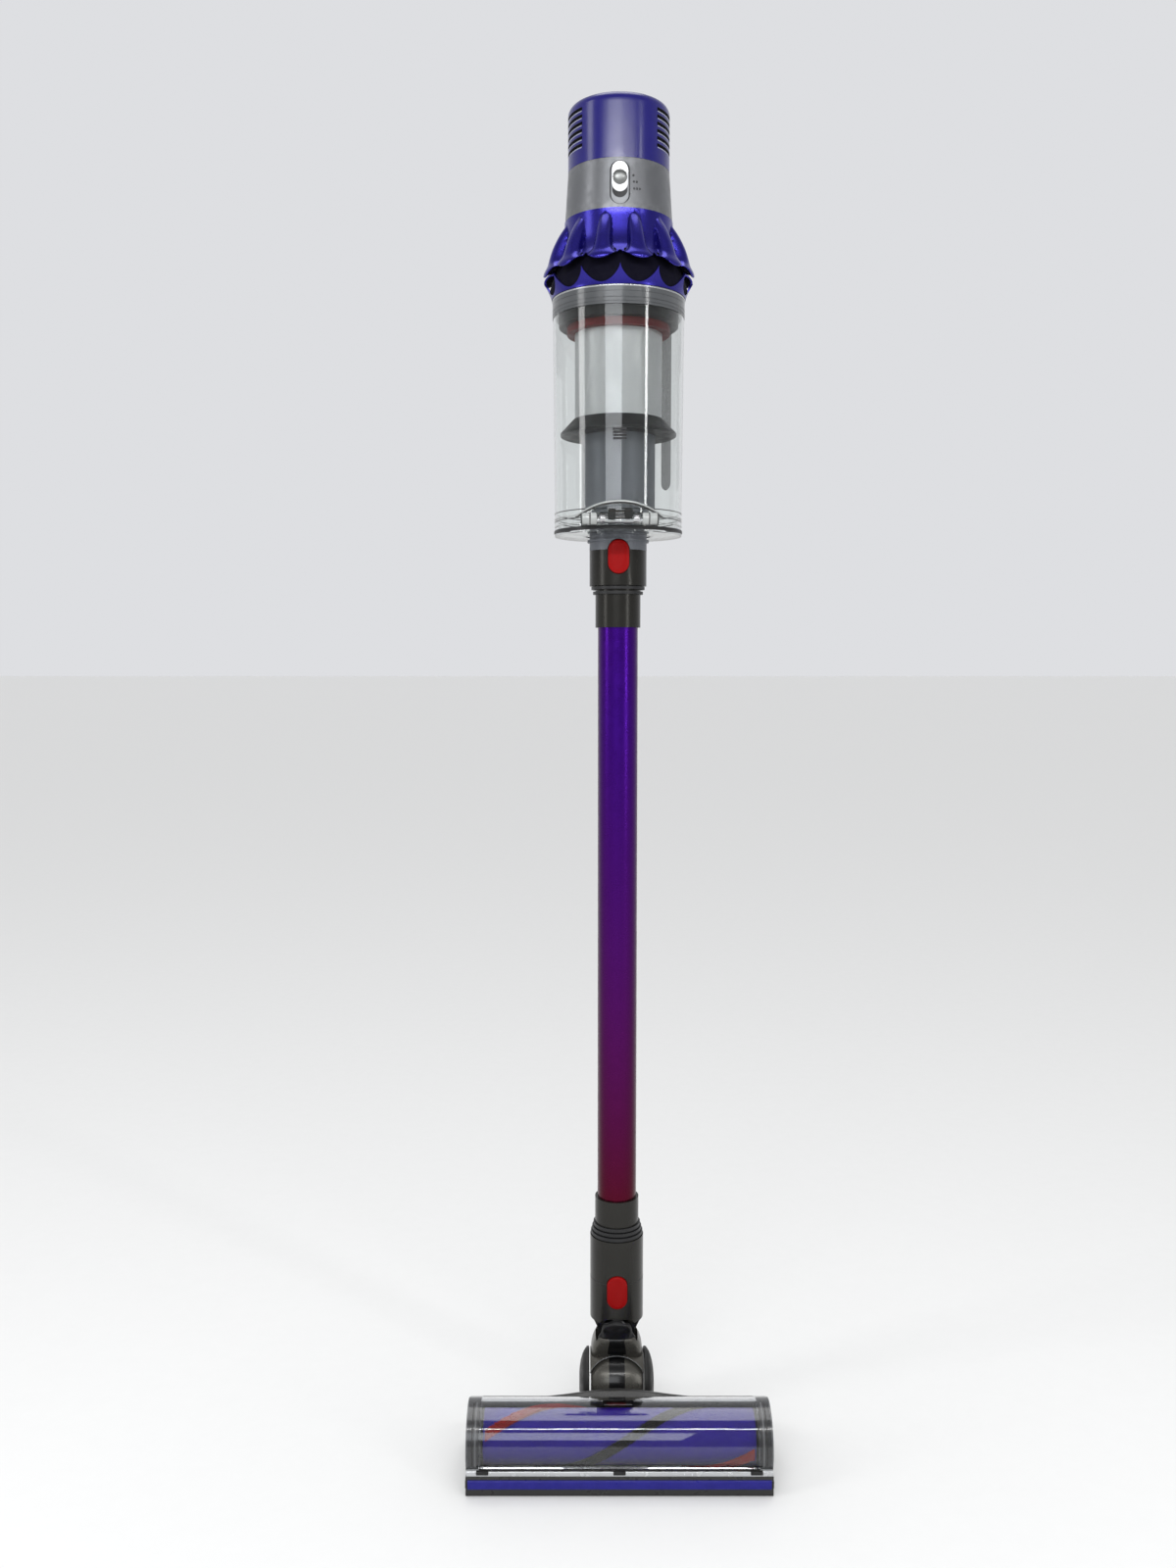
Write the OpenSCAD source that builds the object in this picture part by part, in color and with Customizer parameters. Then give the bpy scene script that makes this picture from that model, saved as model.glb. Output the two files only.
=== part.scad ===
// Cordless stick vacuum, upright on its floor head.
// +Z runs up the wand and -Y is the side of the toe. All lengths are millimetres.

/* [Wand] */
// Outer radius of the metal tube
tube_r = 17; // [16.8:0.1:17.2]
// Bare length of the metal tube between its collars
tube_len = 499.6; // [420:1:540]

/* [Hand unit] */
// Height of the filter cap
cap_h = 52.2; // [50:0.2:54]
// Height of the motor housing band
band_h = 39.6; // [39:0.1:41]
// Outer radius of the cyclone shell at its lip
cyclone_r = 64; // [63:0.5:66]
// Number of equal pitches for the cyclone lobes, two of them left out at the back
lobe_pitches = 12; // [12]
// Distance from the wand axis to the far side of the battery
battery_reach = 180; // [176:1:186]
// Width of the battery block
battery_w = 75; // [74:1:78]

/* [Floor head] */
// Width of the floor head
head_w = 250; // [240:1:260]
// Distance from the wand axis to the front of the bumper
toe_reach = 126; // [125.6:0.1:126.4]
// Outer radius of the bristles
bristle_r = 24.8; // [23:0.2:25.4]
// Radius of the side wheels
wheel_r = 28.8; // [28:0.1:29]

/* [Travels] */
// Radial gap of a running fit
run_gap = 0.05; // [0.02:0.01:0.09]
// Gap between pieces that slide past each other
slide_gap = 0.3; // [0.25:0.05:0.4]

/* [Hidden] */
$fn = 96;

// heights along the wand, from the floor
seam_low = 128.5;
collar_low = seam_low + 38.1;
tube_low = collar_low + 34.4;
tube_high = tube_low + tube_len;
collar_high = tube_high + 34.9;
seam_high = collar_high + 29.5;
spigot_len = 35;
socket_r = 23.5;
spigot_r = 20;
narrow_r = 19.2;
bore_r = spigot_r + 0.35;
pocket_y = -18.2;

// heights in the hand unit, from its seam with the wand
flap_h0 = 12;
flap_h1 = 25;
bin_h0 = flap_h1 + slide_gap;
bin_h1 = 191;
bin_r0 = 53.5;
bin_r1 = 54.8;
bin_wall = 1.8;
ring_h0 = 201;
lower_h0 = 206;
shell_h0 = 221;
band_h0 = 268;
cap_h0 = band_h0 + band_h + 0.2;
motor_h0 = band_h0 + 9;
band_r0 = 44.5;
cap_r = 41.9;
band_bore = 38.5;
bezel_y = -40.6;
lobe_tilt = 17;
lobe_r = 14;
lobe_h = 29;

// handle and battery
grip_h = 280;
grip_tall = 38;
grip_wide = 32;
spine_y1 = 66;
battery_y0 = battery_reach - 44;
battery_h0 = 185;
battery_h1 = 300;
trigger_y = 72;
trigger_h = 266;
contact_r = 2.9;

// hinge of the flap
flap_axis = [-57.5, 20];

// floor head
roll_h = 86;
roll_pin_r = 3;
pitch_h = 29;
dome_r = 30;
dome_half = 25.5;
yoke_r = 33;
ear_half = 14.5;
brush_y = -93;
brush_h = 32;
core_r = 21.5;
cover_r = 30;
cover_wall = 2.2;
wall_x0 = 114;
mouth_r = 27.6;
axle_r = 2.5;

// the wand axis stands in front of the middle of the depth
axis_y = (toe_reach - battery_reach) / 2;

module ring(r_in, r_out, h0, h1) {
  rotate_extrude() translate([r_in, h0]) square([r_out - r_in, h1 - h0]);
}

module lathe(points) {
  rotate_extrude() polygon(points);
}

// a flat outline drawn in Y and Z, given a thickness along X
module along_x(x0, x1) {
  translate([x0, 0, 0]) rotate([90, 0, 90]) linear_extrude(x1 - x0) children();
}

// a flat outline drawn in X and Z, given a thickness along Y
module along_y(y0, y1) {
  translate([0, y1, 0]) rotate([90, 0, 0]) linear_extrude(y1 - y0) children();
}

module rod_x(r, x0, x1) {
  translate([x0, 0, 0]) rotate([0, 90, 0]) cylinder(r = r, h = x1 - x0);
}

module rod_y(r, y0, y1) {
  translate([0, y0, 0]) rotate([-90, 0, 0]) cylinder(r = r, h = y1 - y0);
}

module round_rect(w, h, r) {
  square([w - 2 * r, h], center = true);
  square([w, h - 2 * r], center = true);
  for (x = [-1, 1], y = [-1, 1]) translate([x * (w / 2 - r), y * (h / 2 - r)]) circle(r = r);
}

module block(x0, x1, y0, y1, h0, h1) {
  translate([x0, y0, h0]) cube([x1 - x0, y1 - y0, h1 - h0]);
}

// a wedge of the Y-Z plane between two angles, counted up from the front
module sector(r, a0, a1) {
  polygon(concat([[0, 0]], [for (i = [0 : 6]) let (a = a0 + (a1 - a0) * i / 6)
    [-r * cos(a), r * sin(a)]]));
}

// pockets of the two oval keys, each crossing a seam
module high_pocket() along_y(-40, pocket_y)
  translate([0, seam_high - 6]) round_rect(18.6, 29.2, 9.2);
module low_pocket() along_y(-40, pocket_y)
  translate([0, seam_low - 6.6]) round_rect(18.6, 30.2, 9.2);

module hand() { translate([0, axis_y, seam_high]) children(); }
module base() { translate([0, axis_y, 0]) children(); }

// ---- motor housing and its slider ----

module motor_housing() color("slategray") hand() difference() {
  lathe([[band_bore, band_h0], [band_r0, band_h0], [cap_r, band_h0 + band_h],
    [band_bore, band_h0 + band_h]]);
  along_y(-60, bezel_y) translate([0, band_h0 + 19.8]) round_rect(16.5, 34.5, 8.2);
}

module mode_bezel() color("lightgray") hand()
  along_y(bezel_y - 0.7, bezel_y) translate([0, band_h0 + 19.8]) round_rect(15.9, 33.9, 7.9);

module mode_slider() color("white") hand()
  along_y(bezel_y - 2.4, bezel_y - 0.8) translate([0, band_h0 + 24.6])
    round_rect(13, 23.6, 6.4);

module mode_knob() color("silver") hand()
  translate([0, 0, band_h0 + 24]) rod_y(5.8, bezel_y - 4.8, bezel_y - 2.4);

// ---- handle, trigger and battery ----

module grip_outline(w, h) {
  translate([0, grip_h]) round_rect(w, h, w / 2 - 0.5);
}

module handle_grip() color("dimgray") hand() difference() {
  union() {
    difference() {
      along_y(spine_y1, battery_y0) grip_outline(grip_wide, grip_tall);
      along_y(spine_y1 + 2.5, battery_y0 - 2.5) grip_outline(grip_wide - 5, grip_tall - 5);
    }
    for (s = [0, 1]) mirror([s, 0, 0])
      translate([0, trigger_y, trigger_h]) rod_x(4, 6.8, 14.5);
  }
  translate([0, trigger_y, trigger_h]) rod_x(1.5, -13.5, 13.5);
  block(-6.6, 6.6, 68, 96, grip_h - 22, grip_h - 12);
}

module body_spine() color("dimgray") hand() difference() {
  block(-16, 16, 44, spine_y1, 160, 300);
  block(-13.5, 13.5, 40, spine_y1 - 2.5, 163, 297);
  lathe([[0, 150], [59.2, 150], [59.2, ring_h0 - 0.5], [58.3, ring_h0 - 0.5],
    [58.3, shell_h0 - 0.1], [48.2, shell_h0 - 0.1], [48.2, band_h0], [44.7, band_h0],
    [44.7, 310], [0, 310]]);
}

module trigger() color("red") hand() difference() {
  union() {
    translate([0, trigger_y, trigger_h]) rod_x(4, -6, 6);
    along_x(-6, 6) polygon([[trigger_y - 3.5, trigger_h], [trigger_y, trigger_h + 3],
      [trigger_y + 14, trigger_h + 2], [trigger_y + 14, trigger_h - 3],
      [trigger_y + 20, trigger_h - 6], [trigger_y + 21, trigger_h - 20],
      [trigger_y + 17, trigger_h - 22], [trigger_y + 9, trigger_h - 19.5],
      [trigger_y, trigger_h - 19], [trigger_y - 3.5, trigger_h - 10]]);
  }
  translate([0, trigger_y, trigger_h]) rod_x(1.5 + run_gap, -7, 7);
}

module trigger_pin() color("silver") hand()
  translate([0, trigger_y, trigger_h]) rod_x(1.5, -13.5, 13.5);

module trigger_switch() color("black") hand()
  block(-4, 4, trigger_y + 6, trigger_y + 20, trigger_h + 6.5, trigger_h + 12.2);

module control_board() color("green") hand()
  block(-12, 12, trigger_y, battery_y0 - 4, grip_h - 1.8, grip_h - 0.2);

// the three lights on each side of the battery
module at_lights() for (s = [0, 1], i = [0 : 2]) mirror([s, 0, 0])
  translate([battery_w / 2 - 1, battery_reach - 22, battery_h1 - 20 + 6 * i]) children();

module battery_case() color("dimgray") hand() {
  mid_y = (battery_y0 + battery_reach) / 2;
  depth = battery_reach - battery_y0;
  difference() {
    translate([0, mid_y, battery_h0]) linear_extrude(battery_h1 - battery_h0)
      round_rect(battery_w, depth, 9);
    translate([0, mid_y, battery_h0 + 16]) linear_extrude(battery_h1 - battery_h0 - 18.5)
      round_rect(battery_w - 5, depth - 5, 6.5);
    translate([0, mid_y, battery_h0 - 1]) cylinder(r = 3.5, h = 13);
    translate([0, mid_y, battery_h0 + 11]) cylinder(r = contact_r, h = 2.1);
    at_lights() rod_x(1.5, -1.1, 2);
    for (x = [-22, 22]) translate([x, 0, grip_h - 35]) rod_y(2, battery_y0 - 1, mid_y - 19.2);
  }
}

module battery_cells() color("mediumseagreen") hand()
  for (i = [0 : 6]) {
    column = i % 2;
    translate([0, (battery_y0 + battery_reach) / 2 + (column - 0.5) * 18.8,
      battery_h0 + 26 + floor(i / 2) * 18.8]) rod_x(9.2, -32.5, 32.5);
  }

module battery_screws() color("silver") hand()
  for (x = [-22, 22]) translate([x, 0, grip_h - 35]) rod_y(2, battery_y0 + 0.3, battery_y0 + 2.5);

module charge_contacts() color("gold") hand()
  translate([0, (battery_y0 + battery_reach) / 2, battery_h0 + 12])
    cylinder(r = contact_r, h = 1);

module charge_lights() color("skyblue") hand() at_lights() rod_x(1.5, -1, 1);

// ---- filter unit, lifted off upwards ----

module filter_cap() color("midnightblue") hand() difference() {
  top = cap_h0 + cap_h;
  rotate_extrude() difference() {
    union() {
      translate([0, cap_h0]) square([cap_r - 7, cap_h]);
      translate([0, cap_h0]) square([cap_r, cap_h - 7]);
      translate([cap_r - 7, top - 7]) circle(r = 7);
    }
    translate([0, cap_h0 - 1]) square([cap_r - 2.4, cap_h - 2]);
    translate([-20, 0]) square([20, 2 * top]);
  }
  for (i = [0 : 5], k = [0 : 2])
    translate([0, 0, cap_h0 + 12.4 + 5.6 * i]) rotate([0, 0, 90 * k - 40])
      rotate_extrude(angle = 80) translate([cap_r - 3, 0]) square([4, 2.2]);
}

module filter_media() color("white") hand() ring(20, 39, cap_h0 + 5, cap_h0 + cap_h - 3.5);

module filter_seal() color("black") hand()
  lathe([[33, cap_h0 - 6], [38.2, cap_h0 - 6], [38.2, cap_h0 + 0.1], [39.4, cap_h0 + 0.1],
    [39.4, cap_h0 + 5], [33, cap_h0 + 5]]);

// ---- motor ----

module motor_can() color("silver") hand() ring(13, 27, motor_h0 + 4, motor_h0 + 23);

module motor_rotor() color("gray") hand() union() {
  ring(0, 11.5, motor_h0 + 5, motor_h0 + 21);
  ring(0, axle_r, motor_h0 - 10, motor_h0 + 27);
}

module impeller() color("lightgray") hand() difference() {
  union() {
    lathe([[axle_r, motor_h0 - 8], [6, motor_h0 - 8], [24, motor_h0 - 1],
      [24, motor_h0], [axle_r, motor_h0]]);
    for (i = [0 : 12]) rotate([0, 0, i * 360 / 13])
      block(4, 24, -0.5, 0.5, motor_h0 - 8, motor_h0 - 0.5);
  }
  ring(0, axle_r, motor_h0 - 20, motor_h0 + 20);
}

module motor_bearings() color("silver") hand()
  for (h = [motor_h0 + 1, motor_h0 + 24])
    ring(axle_r + run_gap, 6.5, h, h + 2.5);

module motor_mount() color("black") hand() {
  ring(27, 38.4, motor_h0 + 9, motor_h0 + 17);
  ring(6.5, 27, motor_h0 + 1, motor_h0 + 3.5);
  ring(6.5, 27, motor_h0 + 24, motor_h0 + 26.5);
}

// ---- cyclones ----

function lobe_angles() = [for (i = [0 : lobe_pitches - 1])
  let (a = 360 / lobe_pitches * (i + 0.5)) if (abs(a - 90) > 360 / lobe_pitches * 0.75) a];

// one rod for each lobe, leaning in towards the top
module lobe_rods(r, low, high) {
  for (a = lobe_angles()) rotate([0, 0, a])
    translate([cyclone_r - lobe_r / cos(lobe_tilt), 0, shell_h0]) rotate([0, -lobe_tilt, 0])
      translate([0, 0, low]) cylinder(r = r, h = high - low);
}

module cyclone_shell() color("mediumblue") hand() difference() {
  intersection() {
    union() {
      ring(40, 48, shell_h0, band_h0);
      lobe_rods(lobe_r, -8, 60);
    }
    lathe([[41.2, shell_h0], [cyclone_r, shell_h0], [cyclone_r - 2, shell_h0 + 15],
      [cyclone_r - 6, shell_h0 + 26], [cyclone_r - 12, shell_h0 + 37],
      [band_r0 + 0.5, band_h0], [41.2, band_h0]]);
  }
  lobe_rods(lobe_r - 3, -12, 26);
}

module cyclone_lower_ring() color("mediumblue") hand() difference() {
  ring(50, 58, lower_h0, shell_h0 - 0.3);
  for (a = lobe_angles()) rotate([0, 0, a]) translate([0, 0, shell_h0])
    rod_x(9, 51.5, 62);
}

module cyclone_cones() color("gray") hand()
  for (a = lobe_angles()) rotate([0, 0, a]) translate([39.5, 0, lower_h0 + 1])
    rotate([0, -6, 0]) rotate_extrude()
      polygon([[3.5, 0], [4.7, 0], [7.6, 28], [6.4, 28]]);

module bright_ring() color("silver") hand() ring(50, 55.2, ring_h0, lower_h0);

// ---- shroud and inlet ----

module shroud() color("dimgray") hand() {
  ring(36.6, 49.9, 184, lower_h0);
  lathe([[31.1, 95], [48.7, 95], [48.7, 97], [38, 108.4], [31.1, 108.4]]);
}

module shroud_mesh() color("silver") hand() ring(35.9, 36.5, 108.4, lower_h0);

module shroud_red_ring() color("firebrick") hand() ring(36.6, 43, 178, 184);

module inlet_socket() color("dimgray") hand() difference() {
  lathe([[bore_r, 0], [24.2, 0], [24.2, 7], [26, 7], [26, 9], [24.2, 9], [24.2, bin_h0],
    [31, bin_h0], [31, 108.4], [29, 108.4], [29, 40], [19, 40], [19, spigot_len + 1],
    [bore_r, spigot_len + 1]]);
  translate([0, 0, -seam_high]) high_pocket();
}

// ---- bin ----

bin_outline = [[bin_r0 - bin_wall, bin_h0], [bin_r0, bin_h0], [bin_r1, bin_h1],
  [bin_r1 - bin_wall, bin_h1]];

module bin_tube() color("lightblue", 0.4) hand() lathe(bin_outline);

module bin_collar() color("dimgray") hand() difference() {
  ring(50.4, 55.2, bin_h1, ring_h0 - 0.2);
  for (h = [bin_h1 + 1.5, bin_h1 + 4.5]) ring(54.7, 56, h, h + 0.8);
}

module bin_runner() color("dimgray") hand() difference() {
  block(-7, 7, 50, 58.5, bin_h0 + 2, bin_h1);
  lathe([[0, 0], [bin_r0, 0], [bin_r0, bin_h0], [bin_r1, bin_h1], [bin_r1, 250], [0, 250]]);
}

module bin_hinge_block() color("lightblue", 0.5) hand() difference() {
  translate([0, flap_axis[0], 0]) union() {
    intersection() {
      block(-36, 36, -3.5, 12, 25.5, 40);
      translate([0, 0, -50]) rod_y(86, -20, 20);
    }
    block(-17.5, 17.5, -3, 3, flap_axis[1], 27);
    translate([0, 0, flap_axis[1]]) rod_x(3.1, -17.5, 17.5);
  }
  lathe([[0, 0], [bin_r0, 0], [bin_r0, bin_h0], [bin_r1, bin_h1], [0, bin_h1]]);
  translate([0, flap_axis[0], flap_axis[1]]) rod_x(1.5, -32, 32);
}

module flap() color("lightblue", 0.5) hand() difference() {
  union() {
    ring(27.5, 53.6, flap_h0, flap_h1);
    for (s = [0, 1]) mirror([s, 0, 0]) translate([0, flap_axis[0], flap_axis[1]]) {
      rod_x(3.4, 18, 31);
      block(18, 31, 0, 16, -3.4, 3.4);
    }
  }
  ring(0, 27.5, 0, 40);
  ring(30, 51, flap_h0 + 2.4, 40);
  ring(53, 56, 14.4, 16.2);
  translate([0, flap_axis[0], flap_axis[1]]) rod_x(1.5 + run_gap, -32, 32);
}

module flap_seal() color("black") hand() difference() {
  ring(53, 54, 14.4, 16.2);
  for (s = [0, 1]) mirror([s, 0, 0]) block(17, 32, -60, -30, 10, 20);
}

module flap_hinge_pin() color("silver") hand()
  translate([0, flap_axis[0], flap_axis[1]]) rod_x(1.5, -31, 31);

module release_lever() color("red") hand() {
  along_x(-9, 9) polygon([[spine_y1 + 0.3, 176], [spine_y1 + 3, 176], [spine_y1 + 7, 172],
    [spine_y1 + 7, 178], [spine_y1 + 3, 184], [spine_y1 + 3, 200], [spine_y1 + 0.3, 200]]);
}

// ---- wand ----

module wand_tube() color("indigo") base()
  ring(tube_r - 1.2, tube_r, collar_low + 1.6, collar_high + 4.5);

module wand_collars() color("dimgray") base() difference() {
  union() {
    lathe([[bore_r, seam_low], [socket_r, seam_low], [socket_r, collar_low],
      [narrow_r, collar_low], [narrow_r, tube_low], [tube_r, tube_low],
      [tube_r, collar_low + 1.6], [tube_r - 1.2, collar_low + 1.6],
      [tube_r - 1.2, collar_low], [bore_r, collar_low - 1]]);
    lathe([[tube_r, tube_high], [narrow_r, tube_high], [narrow_r, collar_high],
      [socket_r + 0.7, collar_high], [socket_r + 0.7, seam_high], [spigot_r, seam_high],
      [spigot_r, seam_high + spigot_len], [16, seam_high + spigot_len],
      [16, collar_high + 4.5], [tube_r, collar_high + 4.5]]);
  }
  high_pocket();
  low_pocket();
}

module wand_rings() color("black") base() {
  ring(narrow_r, 22.7, collar_high - 3, collar_high - 0.6);
  ring(narrow_r, 21.3, collar_high - 7, collar_high - 4.6);
  for (i = [0 : 2]) ring(narrow_r, 22.8 - 1.1 * i, collar_low + 0.6 + 3.8 * i,
    collar_low + 3.6 + 3.8 * i);
}

// an oval key whose lower face keeps clear of the pocket over its travel
module button(middle, length) {
  along_y(-25.4, -20.6) translate([0, middle]) round_rect(17.6, length, 8.7);
}

module wand_button() color("firebrick") base() button(seam_high - 6, 28.2);

module wand_wires() color("orange") base()
  for (x = [-2, 2]) translate([x, 13.6, 0]) ring(0, 1.2, collar_low + 2, seam_high + 20);

// ---- neck ----

// the ear's outline, and the sweep of it over the roll travel
module ear_outline(grow) {
  translate([0, roll_h - 5.5]) circle(r = ear_half + grow);
}

module neck_cuff() color("dimgray") base() difference() {
  union() {
    lathe([[0, roll_h + 5.5], [socket_r, roll_h + 5.5], [socket_r, seam_low],
      [spigot_r, seam_low], [spigot_r, seam_low + spigot_len], [0, seam_low + spigot_len]]);
    along_y(-11.5, 11.5) union() {
      translate([0, roll_h]) circle(r = 16.5);
      polygon([[-socket_r + 3, roll_h + 6], [-16.2, roll_h - 3], [16.2, roll_h - 3],
        [socket_r - 3, roll_h + 6]]);
    }
  }
  for (s = [0, 1]) mirror([0, s, 0]) {
    along_y(11.5, 40) for (a = [-45 : 15 : 45])
      translate([0, roll_h]) rotate(a) translate([0, -roll_h]) ear_outline(0.5);
    translate([0, 0, roll_h]) rod_y(roll_pin_r + run_gap, 8, 12);
  }
  ring(0, 16.5, roll_h + 14, 200);
  ring(0, 7.5, 50, 120);
  low_pocket();
}

module neck_button() color("firebrick") base() button(seam_low - 6.6, 29.2);

module neck_yoke() color("slategray") base() difference() {
  union() {
    translate([0, 0, pitch_h]) {
      along_x(-27.6, 27.6) difference() {
        intersection() {
          circle(r = yoke_r);
          sector(60, 65, 145);
        }
        circle(r = dome_r + 0.5);
      }
      for (s = [0, 1]) mirror([s, 0, 0]) along_x(25.9, 27.6) union() {
        circle(r = 9);
        intersection() {
          circle(r = yoke_r);
          sector(60, 65, 145);
        }
      }
    }
    intersection() {
      along_y(-17, 17) union() {
        ear_outline(0);
        translate([-ear_half, 50]) square([2 * ear_half, roll_h - 55.5]);
      }
      block(-20, 20, -17, 17, pitch_h + 28, 120);
    }
  }
  translate([0, 0, roll_h]) rod_y(19.2, -11.9, 11.9);
  block(-20, 20, -11.9, 11.9, roll_h, 120);
  translate([0, 0, pitch_h]) rod_x(dome_r + 0.5, -25.8, 25.8);
  translate([0, 0, pitch_h]) rod_x(axle_r, -30, 30);
  translate([0, 0, roll_h]) rod_y(roll_pin_r, -18, 18);
  ring(0, 7.5, 50, 80);
}

module roll_pins() color("silver") base() for (s = [0, 1]) mirror([0, s, 0])
  translate([0, 0, roll_h]) rod_y(roll_pin_r, 8.6, 17);

// a domed wheel with a rubber rim and its stub axle
module wheel(side) base() translate([0, 0, pitch_h]) mirror([side < 0 ? 1 : 0, 0, 0])
  rotate([0, 90, 0]) difference() {
    rotate_extrude() difference() {
      union() {
        translate([0, 28]) square([wheel_r - 2, 5.3]);
        translate([0, 28]) square([wheel_r, 3.3]);
        translate([wheel_r - 2, 31.3]) circle(r = 2);
      }
      translate([-5, 0]) square([5, 60]);
    }
    for (i = [0 : 35]) rotate([0, 0, 10 * i]) translate([wheel_r, 0, 27])
      cylinder(r = 0.9, h = 8, $fn = 24);
  }

module axle_stub(side) base() translate([0, 0, pitch_h]) mirror([side < 0 ? 1 : 0, 0, 0])
  rod_x(axle_r - run_gap, 22, 28.1);

module wheel_left() color("dimgray") union() { wheel(-1); axle_stub(-1); }
module wheel_right() color("dimgray") union() { wheel(1); axle_stub(1); }

// ---- floor head ----

module chassis_profile() {
  difference() {
    polygon([[-71.3, 53.2], [-64, 50.6], [-48, 36], [-38, 22], [-37, 1], [-39, 0], [-73, 0],
      [-75, 1], [-75, 20], [-71.3, 30]]);
    translate([brush_y, brush_h]) circle(r = mouth_r);
  }
}

module head_chassis() color("slategray") base() difference() {
  union() {
    along_x(-wall_x0 + 0.1, wall_x0 - 0.1) chassis_profile();
    along_x(-dome_half + 0.1, dome_half - 0.1) difference() {
      polygon([[-66, 47], [-62, 46], [-45, 38], [-26, 35], [-20, 20], [-22, 4], [-40, 4],
        [-66, 20]]);
      translate([brush_y, brush_h]) circle(r = mouth_r);
      translate([0, pitch_h]) circle(r = dome_r);
    }
  }
  block(-19, 19, -80, -20, 12, 34);
  for (s = [0, 1]) mirror([s, 0, 0]) {
    block(70, 92, -56, -40, -1, 9);
    along_x(28, wall_x0 - 3) difference() {
      polygon([[-70, 11], [-41, 11], [-42, 20], [-52, 34], [-66, 47]]);
      translate([brush_y, brush_h]) circle(r = mouth_r + 2);
    }
  }
}

module head_cover() color("lightblue", 0.4) base()
  along_x(-wall_x0 + 0.1, wall_x0 - 0.1) translate([brush_y, brush_h]) difference() {
    circle(r = cover_r);
    circle(r = cover_r - cover_wall);
    translate([-60, -60]) square([120, 49]);
    translate([21.4, -60]) square([60, 120]);
  }

module end_wall_outline() {
  union() {
    translate([brush_y, brush_h]) circle(r = cover_r);
    translate([-118, 0]) square([78, 21]);
    polygon([[-93, 61.9], [-82, 59.9], [-64, 50.5], [-48, 36], [-40, 21], [-93, 21]]);
  }
}

module head_end_walls() color("gray") base() {
  along_x(-head_w / 2 + 0.5, -wall_x0) end_wall_outline();
  along_x(wall_x0, head_w / 2 - 0.5) difference() {
    end_wall_outline();
    translate([brush_y, brush_h]) circle(r = 26.6);
  }
  translate([0, brush_y, brush_h]) rod_x(13.5, -wall_x0, -20);
}

// the bright rail under the window, and the grey bar that carries the bumper
module head_trim() color("silver") base() {
  block(-wall_x0 + 0.2, wall_x0 - 0.2, -123.4, -119, 13.2, 20.9);
  block(-head_w / 2 + 0.5, head_w / 2 - 0.5, -124.6, -118.1, 13.2, 16);
  block(-head_w / 2 + 0.5, head_w / 2 - 0.5, -124.6, -118.1, 0.3, 6.1);
}

module bumper_strip() color("mediumblue") base() translate([0, 0, 6.3])
  linear_extrude(6.6) difference() {
    translate([0, -toe_reach + 16]) round_rect(head_w, 32, 5);
    translate([-head_w, -118.1]) square([2 * head_w, 60]);
  }

module pivot_dome() color("slategray") base() translate([0, 0, pitch_h]) difference() {
  union() {
    along_x(-dome_half, dome_half) difference() {
      intersection() {
        circle(r = dome_r - 0.1);
        sector(80, -28, 140);
      }
      circle(r = dome_r - 3);
    }
    for (s = [0, 1]) mirror([s, 0, 0]) along_x(dome_half - 2.5, dome_half) union() {
      circle(r = 9);
      intersection() {
        circle(r = dome_r - 0.1);
        sector(80, -28, 140);
      }
    }
  }
  rod_x(axle_r, -40, 40);
  along_x(-7.8, 7.8) difference() { circle(r = 40); circle(r = dome_r - 0.9); }
}

module brush_core() color("indigo") base() translate([0, brush_y, brush_h]) difference() {
  rod_x(core_r, -wall_x0 + 3, wall_x0 - 2.5);
  rod_x(14, -wall_x0, wall_x0 - 12);
}

module brush_bristles() color("red") base() translate([0, brush_y, brush_h])
  for (i = [0, 1]) rotate([180 * i, 0, 0])
    block(-wall_x0 + 4, wall_x0 - 4, -1.6, 1.6, core_r, bristle_r);

module brush_end_cap() color("gray") base() translate([0, brush_y, brush_h]) difference() {
  union() {
    rod_x(26.3, wall_x0 + 0.5, head_w / 2 - 0.6);
    rod_x(6, wall_x0 - 2.4, wall_x0 + 1);
  }
  block(head_w / 2 - 3, head_w / 2, -1.2, 1.2, -7, 7);
}

module sole_rollers() color("dimgray") base() for (s = [0, 1]) mirror([s, 0, 0])
  translate([0, -48, 4.2]) rod_x(4, 71, 91);

motor_housing();
mode_bezel();
mode_slider();
mode_knob();
handle_grip();
body_spine();
trigger();
trigger_pin();
trigger_switch();
control_board();
battery_case();
battery_cells();
battery_screws();
charge_contacts();
charge_lights();
filter_cap();
filter_media();
filter_seal();
motor_can();
motor_rotor();
impeller();
motor_bearings();
motor_mount();
cyclone_shell();
cyclone_lower_ring();
cyclone_cones();
bright_ring();
shroud();
shroud_mesh();
shroud_red_ring();
inlet_socket();
bin_tube();
bin_collar();
bin_runner();
bin_hinge_block();
flap();
flap_seal();
flap_hinge_pin();
release_lever();
wand_tube();
wand_collars();
wand_rings();
wand_button();
wand_wires();
neck_cuff();
neck_button();
neck_yoke();
roll_pins();
wheel_left();
wheel_right();
head_chassis();
head_cover();
head_end_walls();
head_trim();
bumper_strip();
pivot_dome();
brush_core();
brush_bristles();
brush_end_cap();
sole_rollers();
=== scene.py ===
"""Looks of the cordless stick vacuum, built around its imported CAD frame.

Every length is in metres in the row frame: +Z up the wand, -Y towards the toe.
"""
import math
import random

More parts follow.
